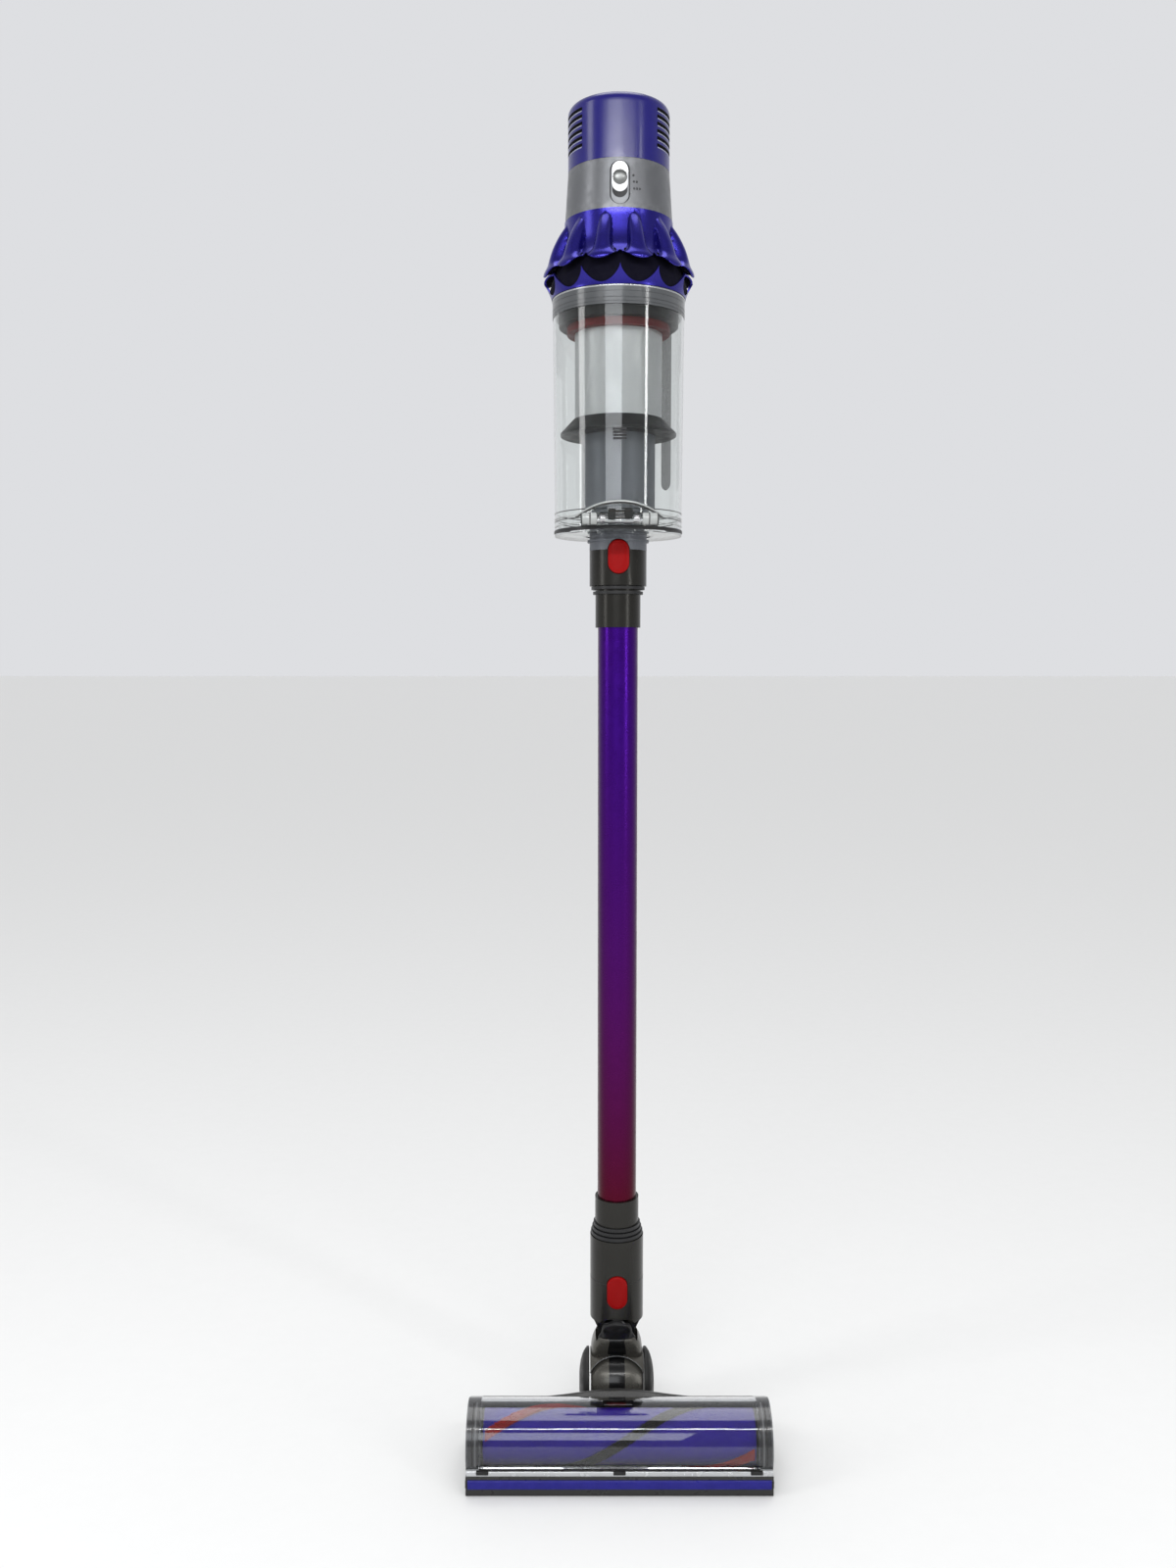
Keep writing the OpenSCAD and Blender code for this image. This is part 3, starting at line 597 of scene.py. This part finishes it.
def bin_parts():
    finish_node("bright_ring", "collar_clear", 0.8 * MM)
    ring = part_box("bright_ring")
    bead = [(55.0, -1.5), (55.35, -1.5), (55.6, -1.1), (55.6, -0.5), (55.35, -0.1), (55.0, -0.1)]
    lathe("bright_ring_bead", [(r * MM, ring[1].z + h * MM) for r, h in bead], "hand_unit",
          ["bright"])
    finish_node("bin_collar", "collar_clear", 0.3 * MM)
    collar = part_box("bin_collar")
    for i, drop in enumerate((4.2, 9.4)):
        lathe(f"collar_line_{i}", [(r * MM, collar[1].z + (h - drop) * MM) for r, h in
                                   ((54.0, -0.35), (54.28, -0.3), (54.28, 0.3), (54.0, 0.35))],
              "bin", ["outline"])
    finish_node("bin_tube", "clear")
    finish_node("bin_runner", "grey", 0.5 * MM)
    finish_node("shroud", "shroud", 0.5 * MM)
    finish_node("shroud_mesh", "mesh")
    finish_node("shroud_red_ring", "ring_red", 0.5 * MM)
    finish_node("inlet_socket", "inner", 0.4 * MM)
    finish_node("flap_hinge_pin", "steel")
    seal = middle("flap_seal").z
    band = [(52.4, -1.2), (53.6, -1.5), (54.2, -0.9), (54.2, 0.9), (53.6, 1.5), (52.4, 1.2)]
    wrap = lathe("flap_seal_band", [(r * MM, seal + h * MM) for r, h in band], "flap",
                 ["black"])
    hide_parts("flap_seal")
    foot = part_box("bin_tube")[0].z
    # Painted highlight and shade: pale and dark lines round the foot of the clear bin and the flap
    # stand for its edge reflections.
    for i, (h, body, key) in enumerate(((-5.6, "flap", "clear_painted_highlight"), (-1.4, "flap", "clear_dark"),
                                        (0.7, "bin", "clear_painted_highlight"), (5.2, "bin", "clear_dark"))):
        lathe(f"bin_foot_line_{i}",
              [(r * MM, foot + (h + d) * MM) for r, d in
               ((53.3, -0.4), (53.75, -0.4), (54.0, 0), (53.75, 0.4), (53.3, 0.4))],
              body, [key])
    finish_node("flap", "clear_thick", 0.6 * MM)
    hinge_block()
    bin_rib()
    front = AXIS_Y - BIN_RADIUS - 0.35 * MM
    for i in range(4):
        z = foot + (59.5 + 2.5 * i) * MM
        prism(f"fill_line_{i}", [(-5.6 * MM, z), (5.6 * MM, z), (5.6 * MM, z + 1.5 * MM),
                                 (-5.6 * MM, z + 1.5 * MM)],
              "Y", front, front + 0.3 * MM, "bin", ["outline"])


def hinge_block():
    """The clear arched hinge cover that hugs the foot of the bin, with its latch bits."""
    low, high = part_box("bin_hinge_block")
    axis = middle("flap_hinge_pin")
    foot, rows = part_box("bin_tube")[0].z + 0.2 * MM, []
    crown = high.z - foot
    for x in np.linspace(low.x + 0.3 * MM, high.x - 0.3 * MM, 60):
        across = abs(x) / (high.x - 0.3 * MM)
        top = foot + max(crown * (1 - across ** 2.1), 0.8 * MM)
        skin = AXIS_Y - math.sqrt((53.9 * MM) ** 2 - x ** 2)
        face = skin - 5 * MM * (1 - across ** 3) - 0.6 * MM
        edge = min(1.2 * MM, (top - foot) / 3)
        rows.append([(x, face, foot + edge), (x, face, top - edge), (x, face + edge, top),
                     (x, skin - 0.25 * MM, top), (x, skin - 0.25 * MM, foot),
                     (x, face + edge, foot)])
    arch = grid("bin_hinge_arch", rows, "bin", ["clear_thick"], sharp=25)
    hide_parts("bin_hinge_block")
    # Painted highlight and shade: a pale line and a dark line along the top of the arch stand for
    # its edge reflections.
    for name, drop, key in (("bright", 0.6, "clear_painted_highlight"), ("dark", 2.2, "clear_dark")):
        tube = []
        for row in rows:
            x, y, z = row[2]
            z -= drop * MM
            tube.append([(x, y - 1.3 * MM + 0.75 * MM * math.cos(a), z + 0.75 * MM * math.sin(a))
                         for a in np.linspace(0, TAU, 9)[:-1]])
        grid(f"bin_hinge_line_{name}", tube, "bin", [key])
    lathe_x("bin_hinge_knuckle", [(1.6 * MM, -17.3 * MM), (3.1 * MM, -17.3 * MM),
                                  (3.1 * MM, 17.3 * MM), (1.6 * MM, 17.3 * MM)],
            (axis.y, axis.z), "bin", ["clear_thick"])
    bits = [("latch_web", (-16.5, 16.5), (0.5, 3.2), (2.0, 5.4), "clear_dark"),
            ("latch_left", (-9.5, -3.2), (-3.4, 0.5), (0.4, 9.0), "shroud"),
            ("latch_right", (4.2, 10.5), (-3.4, 0.5), (1.0, 9.6), "shroud"),
            ("latch_bar", (-9.5, 9.5), (-3.6, -2.4), (6.6, 8.0), "grey")]
    for name, xs, ys, zs, key in bits:
        outline = softened([(xs[0] * MM, zs[0] * MM + axis.z), (xs[1] * MM, zs[0] * MM + axis.z),
                            (xs[1] * MM, zs[1] * MM + axis.z),
                            (xs[0] * MM, zs[1] * MM + axis.z)], 0.8 * MM)
        prism(name, outline, "Y", axis.y + ys[0] * MM, axis.y + ys[1] * MM, "bin",
              [key], bevel=0.3 * MM)
    for side, hand in ((-1, "left"), (1, "right")):
        # The barrels are drawn in the painted-highlight tone, with a band of painted shade round
        # each.
        for name, key, r, x0, x1 in (("barrel", "clear_painted_highlight", 4.4, 18.3, 30.6),
                                     ("barrel_band", "clear_dark", 4.75, 23.2, 24.6),
                                     ("barrel_end", "outline", 4.5, 30.6, 31.4)):
            lathe_x(f"hinge_{name}_{hand}",
                    [(2.3 * MM, side * x0 * MM), ((r - 0.6) * MM, side * x0 * MM),
                     (r * MM, side * (x0 + 0.6) * MM), (r * MM, side * (x1 - 0.6) * MM),
                     ((r - 0.6) * MM, side * x1 * MM), (2.3 * MM, side * x1 * MM)],
                    (axis.y - 1.2 * MM, axis.z + 1.6 * MM), "flap", [key])
        lathe_x(f"latch_pin_{'left' if side < 0 else 'right'}",
                [(0.3 * MM, side * 11.6 * MM), (2.3 * MM, side * 11.6 * MM),
                 (2.6 * MM, side * 12.2 * MM), (2.6 * MM, side * 15.4 * MM),
                 (2.3 * MM, side * 16 * MM), (0.3 * MM, side * 16 * MM)],
                (axis.y - 2.3 * MM, axis.z + 1.2 * MM), "bin", ["steel"])


def bin_rib():
    """The smoky guide rib on the inner wall of the bin, round at its foot."""
    low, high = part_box("bin_tube")
    inner, rows = 51.3 * MM, []
    turn = math.asin(43 / 51.3)
    for z in np.linspace(low.z + 29 * MM, high.z - 1 * MM, 70):
        up = z - low.z - 29 * MM
        half = 7 * MM * math.sqrt(max(0.001, 1 - max(0, 1 - up / (7 * MM)) ** 2))
        rows.append([((inner - d) * math.sin(turn + w / inner),
                      AXIS_Y + (inner - d) * math.cos(turn + w / inner), z)
                     for w, d in ((-half, 0), (-half * 0.8, 0.0016), (0, 0.0024),
                                  (half * 0.8, 0.0016), (half, 0))])
    grid("bin_inner_rib", rows, "bin", ["rib_smoke"], closed=False)


# ---------------------------------------------------------------- handle

def rounded_box(name, low, high, radius, body, materials, bevel=2.5 * MM):
    """An upright block with round corners seen from above and soft ends."""
    (x0, y0, z0), (x1, y1, z1) = low, high
    outline = softened([(x0, y0), (x1, y0), (x1, y1), (x0, y1)], radius, 8)
    return prism(name, outline, "Z", z0, z1, body, materials, bevel=bevel)


def handle():
    low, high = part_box("handle_grip")
    mid = (low + high) / 2
    rows, length = [], high.y - low.y
    for s in np.linspace(0, 1, 40):
        swell = 1 - 0.10 * math.sin(math.pi * s) ** 2
        half_x = (high.x - low.x) / 2 * swell
        half_z = (high.z - low.z) / 2 * (1 - 0.08 * math.sin(math.pi * s) ** 2)
        drop = -0.8 * MM * math.sin(math.pi * s)
        line = []
        for i in range(72):
            a = TAU * i / 72
            line.append((half_x * squared(math.cos(a), 0.82), low.y + length * s,
                         mid.z + drop + half_z * squared(math.sin(a), 0.82)))
        rows.append(line)
    grip = grid("handle_grip_skin", rows, "hand_unit", ["grip"])
    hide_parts("handle_grip")
    low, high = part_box("battery_case")
    case = rounded_box("battery_case_shell", low, high, 10 * MM, "hand_unit",
                       ["battery"], 3 * MM)
    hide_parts("battery_case")
    finish_node("body_spine", "grey", 2 * MM)
    finish_node("trigger", "red", 1 * MM)
    finish_node("release_lever", "red", 0.6 * MM)
    for node, key in (("trigger_pin", "steel"), ("trigger_switch", "black"),
                      ("control_board", "board"), ("battery_cells", "board"),
                      ("battery_screws", "steel"), ("charge_contacts", "gold"),
                      ("charge_lights", "light"), ("motor_can", "steel"),
                      ("motor_rotor", "steel"), ("impeller", "knob"),
                      ("motor_bearings", "steel"), ("motor_mount", "black"),
                      ("cyclone_cones", "shroud"), ("filter_media", "filter"),
                      ("filter_seal", "black"), ("wand_wires", "wire")):
        finish_node(node, key)


# ---------------------------------------------------------------- wand and neck

def wand():
    finish_node("wand_tube", "tube")
    finish_node("wand_collars", "grey", 0.5 * MM)
    finish_node("wand_rings", "black", 0.6 * MM)
    finish_node("neck_cuff", "grey", 0.6 * MM)
    finish_node("roll_pins", "gloss_black", 0.3 * MM)
    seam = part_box("wand_collars")[0].z
    line = [[(r * MM * math.sin(a), AXIS_Y - r * MM * math.cos(a), seam + h * MM)
             for a in np.radians(np.linspace(19, 341, 120))]
            for r, h in ((23.2, -0.55), (23.56, -0.5), (23.56, -0.05), (23.2, 0))]
    grid("cuff_seam_line", line, "neck", ["black"], closed=False)
    pin, barrel = middle("roll_pins").z, 16.7 * MM
    prism("roll_barrel", arc((0, pin), barrel, 172, 368, 60), "Y", AXIS_Y - 11.6 * MM,
          AXIS_Y + 11.6 * MM, "neck", ["gloss_black"])
    for node, body in (("wand_button", "wand_key"), ("neck_button", "neck_key")):
        low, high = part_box(node)
        mid = (low + high) / 2
        half_w, half_h, rows = (high.x - low.x) / 2, (high.z - low.z) / 2, []
        for t in (0, 0.35, 0.7, 0.9, 1.0):
            shrink = 1 - 0.16 * (1 - math.sqrt(max(0, 1 - (1 - t) ** 2)))
            y = low.y + 1.2 * MM * t
            rows.append([(x, y + MM * (abs(x) / half_w) ** 2 * (1 - t), z) for x, z in
                         oval(half_w * shrink, half_h - half_w + half_w * shrink,
                              (mid.x, mid.z), 18)])
        rows.append([(x, high.y, z) for x, _, z in rows[-1]])
        centre = [[(mid.x + (x - mid.x) * k, low.y + 0.1 * MM, mid.z + (z - mid.z) * k)
                   for x, _, z in rows[0]] for k in (0.02, 0.5, 0.8)]
        key = grid(f"{node}_cap", centre + rows, body, ["red"], sharp=60)
        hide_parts(node)


# ---------------------------------------------------------------- floor head

BRUSH = middle("brush_core")


def head():
    finish_node("head_chassis", "chassis", 0.8 * MM)
    window_shell()
    finish_node("head_end_walls", "end_smoke", 0.6 * MM)
    finish_node("head_trim", "chassis", 0.5 * MM)
    finish_node("brush_core", "core")
    finish_node("brush_end_cap", "end_smoke", 0.6 * MM)
    finish_node("sole_rollers", "black")
    bristles()
    dome_and_yoke()
    wheels()
    hood()
    end_ribs()
    bumper()
    suction_mouth()


def window_shell():
    """The clear curved window over the brush."""
    low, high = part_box("head_cover")
    outer = high.z - BRUSH.z
    sides = [(outer, a) for a in np.linspace(-21.5, 133.5, 120)]
    sides += [(outer - 2.2 * MM, a) for a in np.linspace(133.5, -21.5, 120)]
    outline = [(BRUSH.y - r * math.cos(math.radians(a)), BRUSH.z + r * math.sin(math.radians(a)))
               for r, a in sides]
    cover = prism("head_window_shell", outline, "X", low.x, high.x, "head",
                  ["window"])
    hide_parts("head_cover")


def bristles():
    """Two helical rows of short tufts on the brush core, one red and one black."""
    low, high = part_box("brush_core")
    core, tip = (high.z - low.z) / 2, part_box("brush_bristles")[1].z - BRUSH.z
    span = (low.x + 2 * MM, high.x - 2 * MM)
    pitch, crossing = 244 * MM, 11 * MM
    random.seed(SEED)
    for row, (key, slot) in enumerate((("bristle_red", "bristle_red"),
                                       ("bristle_black", "switch_black"))):
        verts, faces = [], []
        tufts = 330
        for i in range(tufts):
            t = i / (tufts - 1)
            x = span[0] + (span[1] - span[0]) * t
            a = math.radians(210 + 180 * row) + TAU * (x - crossing) / pitch
            for lane in range(-3, 4):
                angle = a + lane * 0.052 + random.uniform(-0.012, 0.012)
                lean = random.uniform(-0.03, 0.03)
                reach = tip - abs(lane) * 0.25 * MM
                b = len(verts)
                for r, w, bend in ((core - 0.5 * MM, 0.42 * MM, 0), (reach, 0.34 * MM, lean)):
                    for dx, da in ((-w, -0.02), (w, -0.02), (w, 0.02), (-w, 0.02)):
                        verts.append((x + dx, BRUSH.y - r * math.cos(angle + da + bend),
                                      BRUSH.z + r * math.sin(angle + da + bend)))
                faces += [(b, b + 1, b + 5, b + 4), (b + 1, b + 2, b + 6, b + 5),
                          (b + 2, b + 3, b + 7, b + 6), (b + 3, b, b + 4, b + 7),
                          (b + 4, b + 5, b + 6, b + 7)]
        tuft = make(f"bristle_row_{row}", verts, faces, "brush_bar", [key])
        if row == 0:
            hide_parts("brush_bristles")


HUB = middle("wheel_left")
DOME_RADIUS, YOKE_RADIUS = 29.8 * MM, 33 * MM
STRIP_HALF = 7 * MM


def ball(x, top):
    """Radius of the ball-shaped joint at a distance from its middle, in metres."""
    return math.sqrt(max(top ** 2 - (0.72 * x) ** 2, (8 * MM) ** 2))


def round_hub(x, angle, radius):
    return (x, HUB.y - radius * math.cos(angle), HUB.z + radius * math.sin(angle))


def strip_material(place):
    """The black strip down the middle of the joint."""
    return 1 if abs(place.x) < STRIP_HALF else 0


def strip_columns(half, count):
    """Even places from side to side, with one on each edge of the black strip."""
    even = np.round(np.linspace(-half, half, count), 6)
    return sorted(set(even) | {-STRIP_HALF, STRIP_HALF})


def dome_and_yoke():
    half = 22.9 * MM
    columns = strip_columns(half, 49)
    rows = [[round_hub(x, a, ball(x, DOME_RADIUS)) for x in columns]
            for a in np.radians(np.linspace(-26, 138, 70))]
    dome = grid("pivot_dome_ball", rows, "head", ["yoke", "gloss_black"],
                closed=False, face_material=strip_material)
    dome.modifiers.new("wall", "SOLIDIFY").thickness = 2 * MM
    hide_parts("pivot_dome")

    view = math.radians(28.6)
    half = 23.7 * MM
    columns = strip_columns(half, 53)
    rows = []
    for t in np.linspace(0, 1, 60):
        line = []
        for x in columns:
            r = ball(x, YOKE_RADIUS)
            rise = -1.4 * MM + 21 * MM * math.sqrt(max(0, 1 - (x / (25.2 * MM)) ** 2))
            front = view + math.asin(max(-0.9, min(0.9, rise / r)))
            line.append(round_hub(x, front + (math.radians(145) - front) * t, r))
        rows.append(line)

    def strip_low(place):
        return strip_material(place) if place.y < HUB.y - 6 * MM else 0
    shell = grid("yoke_ball", rows, "yoke", ["yoke", "gloss_black"],
                 closed=False, face_material=strip_low)
    shell.modifiers.new("wall", "SOLIDIFY").thickness = 1.9 * MM
    bevelled(shell, 0.4 * MM, 2, 50)
    neck_cup()
    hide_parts("neck_yoke")
    # Painted highlight: a thin pale tube along the yoke's front edge stands for its lit rim.
    edge = []
    for x, y, z in rows[0]:
        out = Vector((0, y - HUB.y, z - HUB.z)).normalized()
        edge.append([(x, y + out.y * 0.5 * MM * math.cos(a) - out.z * 0.5 * MM * math.sin(a),
                      z + out.z * 0.5 * MM * math.cos(a) + out.y * 0.5 * MM * math.sin(a))
                     for a in np.linspace(0, TAU, 9)[:-1]])
    grid("yoke_front_rim_highlight", edge, "yoke", ["rib"])
    for side in (-1, 1):
        rows = []
        for z in np.linspace(95.0, 74, 40):
            round_top = 13.6 * math.sqrt(max(0.0004, 1 - (max(0, z - 81.5) / 13.6) ** 2))
            half = round_top + 2.9 * max(0, min(1, (82 - z) / 6)) ** 1.5
            lid = 1.6 * max(0, (z - 88) / 7) ** 2
            line = [(half * t * MM, HUB.y + side * (17.2 - lid - 4.2 * abs(t) ** 3) * MM, z * MM)
                    for t in np.linspace(-1, 1, 25)]
            line += [(half * MM, HUB.y + side * 11.9 * MM, z * MM),
                     (-half * MM, HUB.y + side * 11.9 * MM, z * MM)]
            rows.append(line)
        grid(f"roll_ear_{'front' if side < 0 else 'back'}", rows, "yoke",
             ["gloss_black"], sharp=50)


def neck_cup():
    """The throat of the yoke, from its ball up to the roll joint, open at the top."""
    stations = [(None, 23.0, 13.6), (61, 22.8, 15.4), (64, 22.4, 16.8), (67, 21.6, 17.8),
                (70, 20.4, 18.3), (73, 18.8, 18.5), (75.4, 17.5, 18.4), (76.3, 16.8, 18.1),
                (76.5, 16.3, 17.6), (76.0, 15.9, 17.0), (68, 15.7, 16.0)]
    pin, swept, rows = middle("roll_pins").z, 22.8 * MM, []
    for z, half_x, half_y in stations:
        line = []
        for i in range(96):
            a = TAU * i / 96
            x = half_x * squared(math.cos(a), 0.5) * MM
            y = half_y * squared(math.sin(a), 0.5) * MM
            floor = HUB.z + math.sqrt(max(0, ball(x, YOKE_RADIUS) ** 2 - y ** 2)) - 0.7 * MM
            top = floor if z is None else max(z * MM, floor)
            if abs(y) < 12.6 * MM and math.hypot(x, top - pin) < swept:
                top = max(pin - math.sqrt(swept ** 2 - x ** 2), floor)
            line.append((x, HUB.y + y, top))
        rows.append(line)
    grid("yoke_throat", rows, "yoke", ["yoke", "gloss_black"], sharp=60,
         face_material=lambda c: strip_material(c) if c.y < HUB.y else 0)


def wheels():
    for node, side in (("wheel_left", -1), ("wheel_right", 1)):
        outer = (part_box(node)[1].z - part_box(node)[0].z) / 2 / MM
        outline = [(2, 24.3), (outer - 1.6, 24.3), (outer - 0.3, 24.6), (outer, 25.2)]
        for r in (1.2, 3.2, 5.4):
            x = 25.4 + 4.9 * (r / 6.5) ** 0.62
            outline += [(outer - r + 0.8, x - 0.1), (outer - r + 0.5, x - 0.7),
                        (outer - r, x - 0.6), (outer - r - 0.2, x + 0.35)]
        outline += [(outer - 8, 30.9), (outer - 12, 32.1), (outer - 18, 33.0), (7, 33.25),
                    (6, 32.7), (2, 32.7)]

        # Painted shade: the bottoms of the wheel's grooves are drawn in darker rubber.
        def groove_shade(place):
            r = math.hypot(place.y - HUB.y, place.z - HUB.z) / MM
            deep = 25.4 + 4.9 * (max(0, outer - r) / 6.5) ** 0.62 - 0.35
            return 1 if outer - 6 < r < outer - 0.2 and 24.8 < abs(place.x) / MM < deep else 0
        wheel = lathe_x(f"{node}_domed", [(r * MM, side * x * MM) for r, x in outline],
                        (HUB.y, HUB.z), node.split("_")[1] + "_wheel",
                        ["wheel", "black"], 120, groove_shade)
        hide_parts(node)


def hood():
    """The low fairing behind the window that swells up towards the joint."""
    rows = []
    for t in np.linspace(0, 1, 26):
        y = (-70.5 + 33 * t) * MM
        line = []
        for x in np.linspace(-72, 72, 73):
            base = np.interp(y / MM, (-71.3, -64, -48, -38), (52.6, 50.6, 36, 22)) - 0.8
            swell = max(0, 1 - (abs(x) / 70) ** 1.7) ** 1.3
            bump = 10.5 * swell * math.sin(math.pi * min(1, t * 1.02)) ** 1.2
            line.append((x * MM, AXIS_Y + y, (base + bump) * MM))
        rows.append(line)
    grid("head_hood", rows, "head", ["chassis"], closed=False)


def end_ribs():
    """Curved ribs on the end walls, following the window's outline."""
    for side in (-1, 1):
        for i, (x, wide, lift, key) in enumerate(((112.6, 1.0, -0.4, "rib"),
                                                  (116.2, 1.4, 0.12, "rib"),
                                                  (119.0, 0.8, 0.1, "chassis"),
                                                  (123.2, 1.2, 0.14, "rib"))):
            outer = 30 + lift
            rows = []
            for r, dx in ((outer - 1.4, 0), (outer, 0), (outer, wide), (outer - 1.4, wide)):
                rows.append([(side * (x + dx) * MM, BRUSH.y - r * MM * math.cos(a),
                              BRUSH.z + r * MM * math.sin(a))
                             for a in np.radians(np.linspace(-18, 88, 60))])
            rows.append(rows[0])
            name = f"end_rib_{'left' if side < 0 else 'right'}_{i}"
            grid(name, rows, "head", [key], closed=False)
    low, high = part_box("head_trim")
    rail = softened([(low.y + 0.6 * MM, 14.9 * MM), (low.y + 0.6 * MM, 20.6 * MM),
                     (low.y + 6.3 * MM, 20.6 * MM), (low.y + 6.3 * MM, 14.9 * MM)], 2.2 * MM, 6)
    prism("window_rail", rail, "X", low.x + 0.4 * MM, high.x - 0.4 * MM, "head",
          ["trim"], bevel=0.4 * MM)
    for i, x in enumerate((-111, 0, 111)):
        prism(f"rail_catch_{i}", softened([((x - 5) * MM, 17.4 * MM), ((x + 5) * MM, 17.4 * MM),
                                           ((x + 5) * MM, 20.6 * MM),
                                           ((x - 5) * MM, 20.6 * MM)], 0.6 * MM),
              "Y", AXIS_Y - 124.4 * MM, AXIS_Y - 122 * MM, "head",
              ["gloss_black"], bevel=0.3 * MM)


def bumper():
    low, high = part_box("bumper_strip")
    outline = softened([(low.y, low.z - 0.5 * MM), (low.y, high.z + 0.7 * MM),
                        (high.y, high.z + 0.7 * MM), (high.y, low.z - 0.5 * MM)], 1.8 * MM, 6)
    strip = prism("bumper_strip_bulged", outline, "X", low.x + 2.2 * MM, high.x - 2.2 * MM,
                  "head", ["bumper"])
    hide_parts("bumper_strip")
    for side in (-1, 1):
        x0, x1 = sorted((side * (high.x - 3.4 * MM), side * (high.x - 0.1 * MM)))
        end = [(y + (0.4 * MM if y < low.y + 3 * MM else 0), z) for y, z in outline]
        prism(f"bumper_end_{'left' if side < 0 else 'right'}", end, "X", x0, x1, "head",
              ["gloss_black"], bevel=1.2 * MM)


def suction_mouth():
    """A sheet of painted shade standing for the dark mouth of the duct in the back wall of the
    brush chamber.
    """
    rows = []
    for a in np.radians(np.linspace(38, 74, 16)):
        r = 27.3 * MM
        rows.append([(x * MM, BRUSH.y + r * math.cos(a), BRUSH.z + r * math.sin(a))
                     for x in np.linspace(-13, 13, 14)])
    grid("suction_mouth", rows, "head", ["recess_painted_shade"], closed=False)
    ring = []
    for r in (26.2, 27.1):
        ring.append([(x * MM, BRUSH.y + r * MM * math.cos(math.radians(36)),
                      BRUSH.z + r * MM * math.sin(math.radians(36)))
                     for x in np.linspace(-12, 12, 20)])
    grid("suction_mouth_lip", ring, "head", ["trim"], closed=False)


# ---------------------------------------------------------------- stage

def light(name, place, target, size, power, color=(1, 1, 1)):
    lamp = bpy.data.lights.new(name, "AREA")
    lamp.shape = "RECTANGLE"
    lamp.size, lamp.size_y = size
    lamp.energy = power
    lamp.color = color
    o = bpy.data.objects.new(name, lamp)
    bpy.context.collection.objects.link(o)
    o.location = place
    o.rotation_mode = "QUATERNION"
    o.rotation_quaternion = (Vector(target) - Vector(place)).to_track_quat("-Z", "Y")


def studio():
    bpy.context.scene.view_settings.view_transform = "Standard"
    world = bpy.data.worlds.new("studio")
    bpy.context.scene.world = world
    world.use_nodes = True
    tree = world.node_tree
    sky = tree.nodes["Background"]
    sky.inputs[0].default_value = (0.96, 0.97, 1, 1)
    aim = tree.nodes.new("ShaderNodeSeparateXYZ")
    tree.links.new(tree.nodes.new("ShaderNodeTexCoord").outputs["Generated"], aim.inputs[0])
    tree.links.new(ranged(tree, aim.outputs[1], 0.34, 0.76, -0.35, 0.75), sky.inputs[1])
    light("window", (-0.5, -3.0, 1.75), (0, 0, 0.75), (1.6, 1.3), 18, (0.93, 0.96, 1))
    light("ceiling_tube", (0, -1.3, 1.5), (0, -0.1, 0), (1.9, 0.05), 11)
    light("strip", (1.9, -1.7, 1.2), (0, 0, 0.7), (0.18, 1.6), 9)
    light("left", (-2.2, -0.9, 1.5), (0, 0, 0.7), (0.5, 1.8), 11)
    sun = bpy.data.lights.new("above", "SUN")
    sun.energy, sun.angle = 1.25, math.radians(45)
    above = bpy.data.objects.new("above", sun)
    bpy.context.collection.objects.link(above)
    above.rotation_euler = (math.radians(-10), 0, 0)
    mesh = bpy.data.meshes.new("floor")
    mesh.from_pydata([(-60, -60, 0), (60, -60, 0), (60, 60, 0), (-60, 60, 0)], [], [(0, 1, 2, 3)])
    floor = bpy.data.objects.new("floor", mesh)
    bpy.context.collection.objects.link(floor)
    mesh.materials.append(surface("floor_pale", (0.78, 0.78, 0.77), 0.85, spread=0.01, grain=0))


def camera():
    """The photographer's place: a little left of the wand, looking slightly down."""
    reach, height, left, pitch = 1.157, 0.672, 0.0255, 5.2
    focal_share = 1375 / 1600
    data = bpy.data.cameras.new("camera")
    data.sensor_width = 36
    data.lens = data.sensor_width * focal_share
    o = bpy.data.objects.new("camera", data)
    bpy.context.collection.objects.link(o)
    o.location = (-left, AXIS_Y - reach, height)
    o.rotation_euler = (math.radians(90 - pitch), 0, 0)
    bpy.context.scene.camera = o


filter_cap()
mode_controls()
cyclone_shell()
cyclone_lower_ring()
bin_parts()
handle()
wand()
head()
studio()
camera()
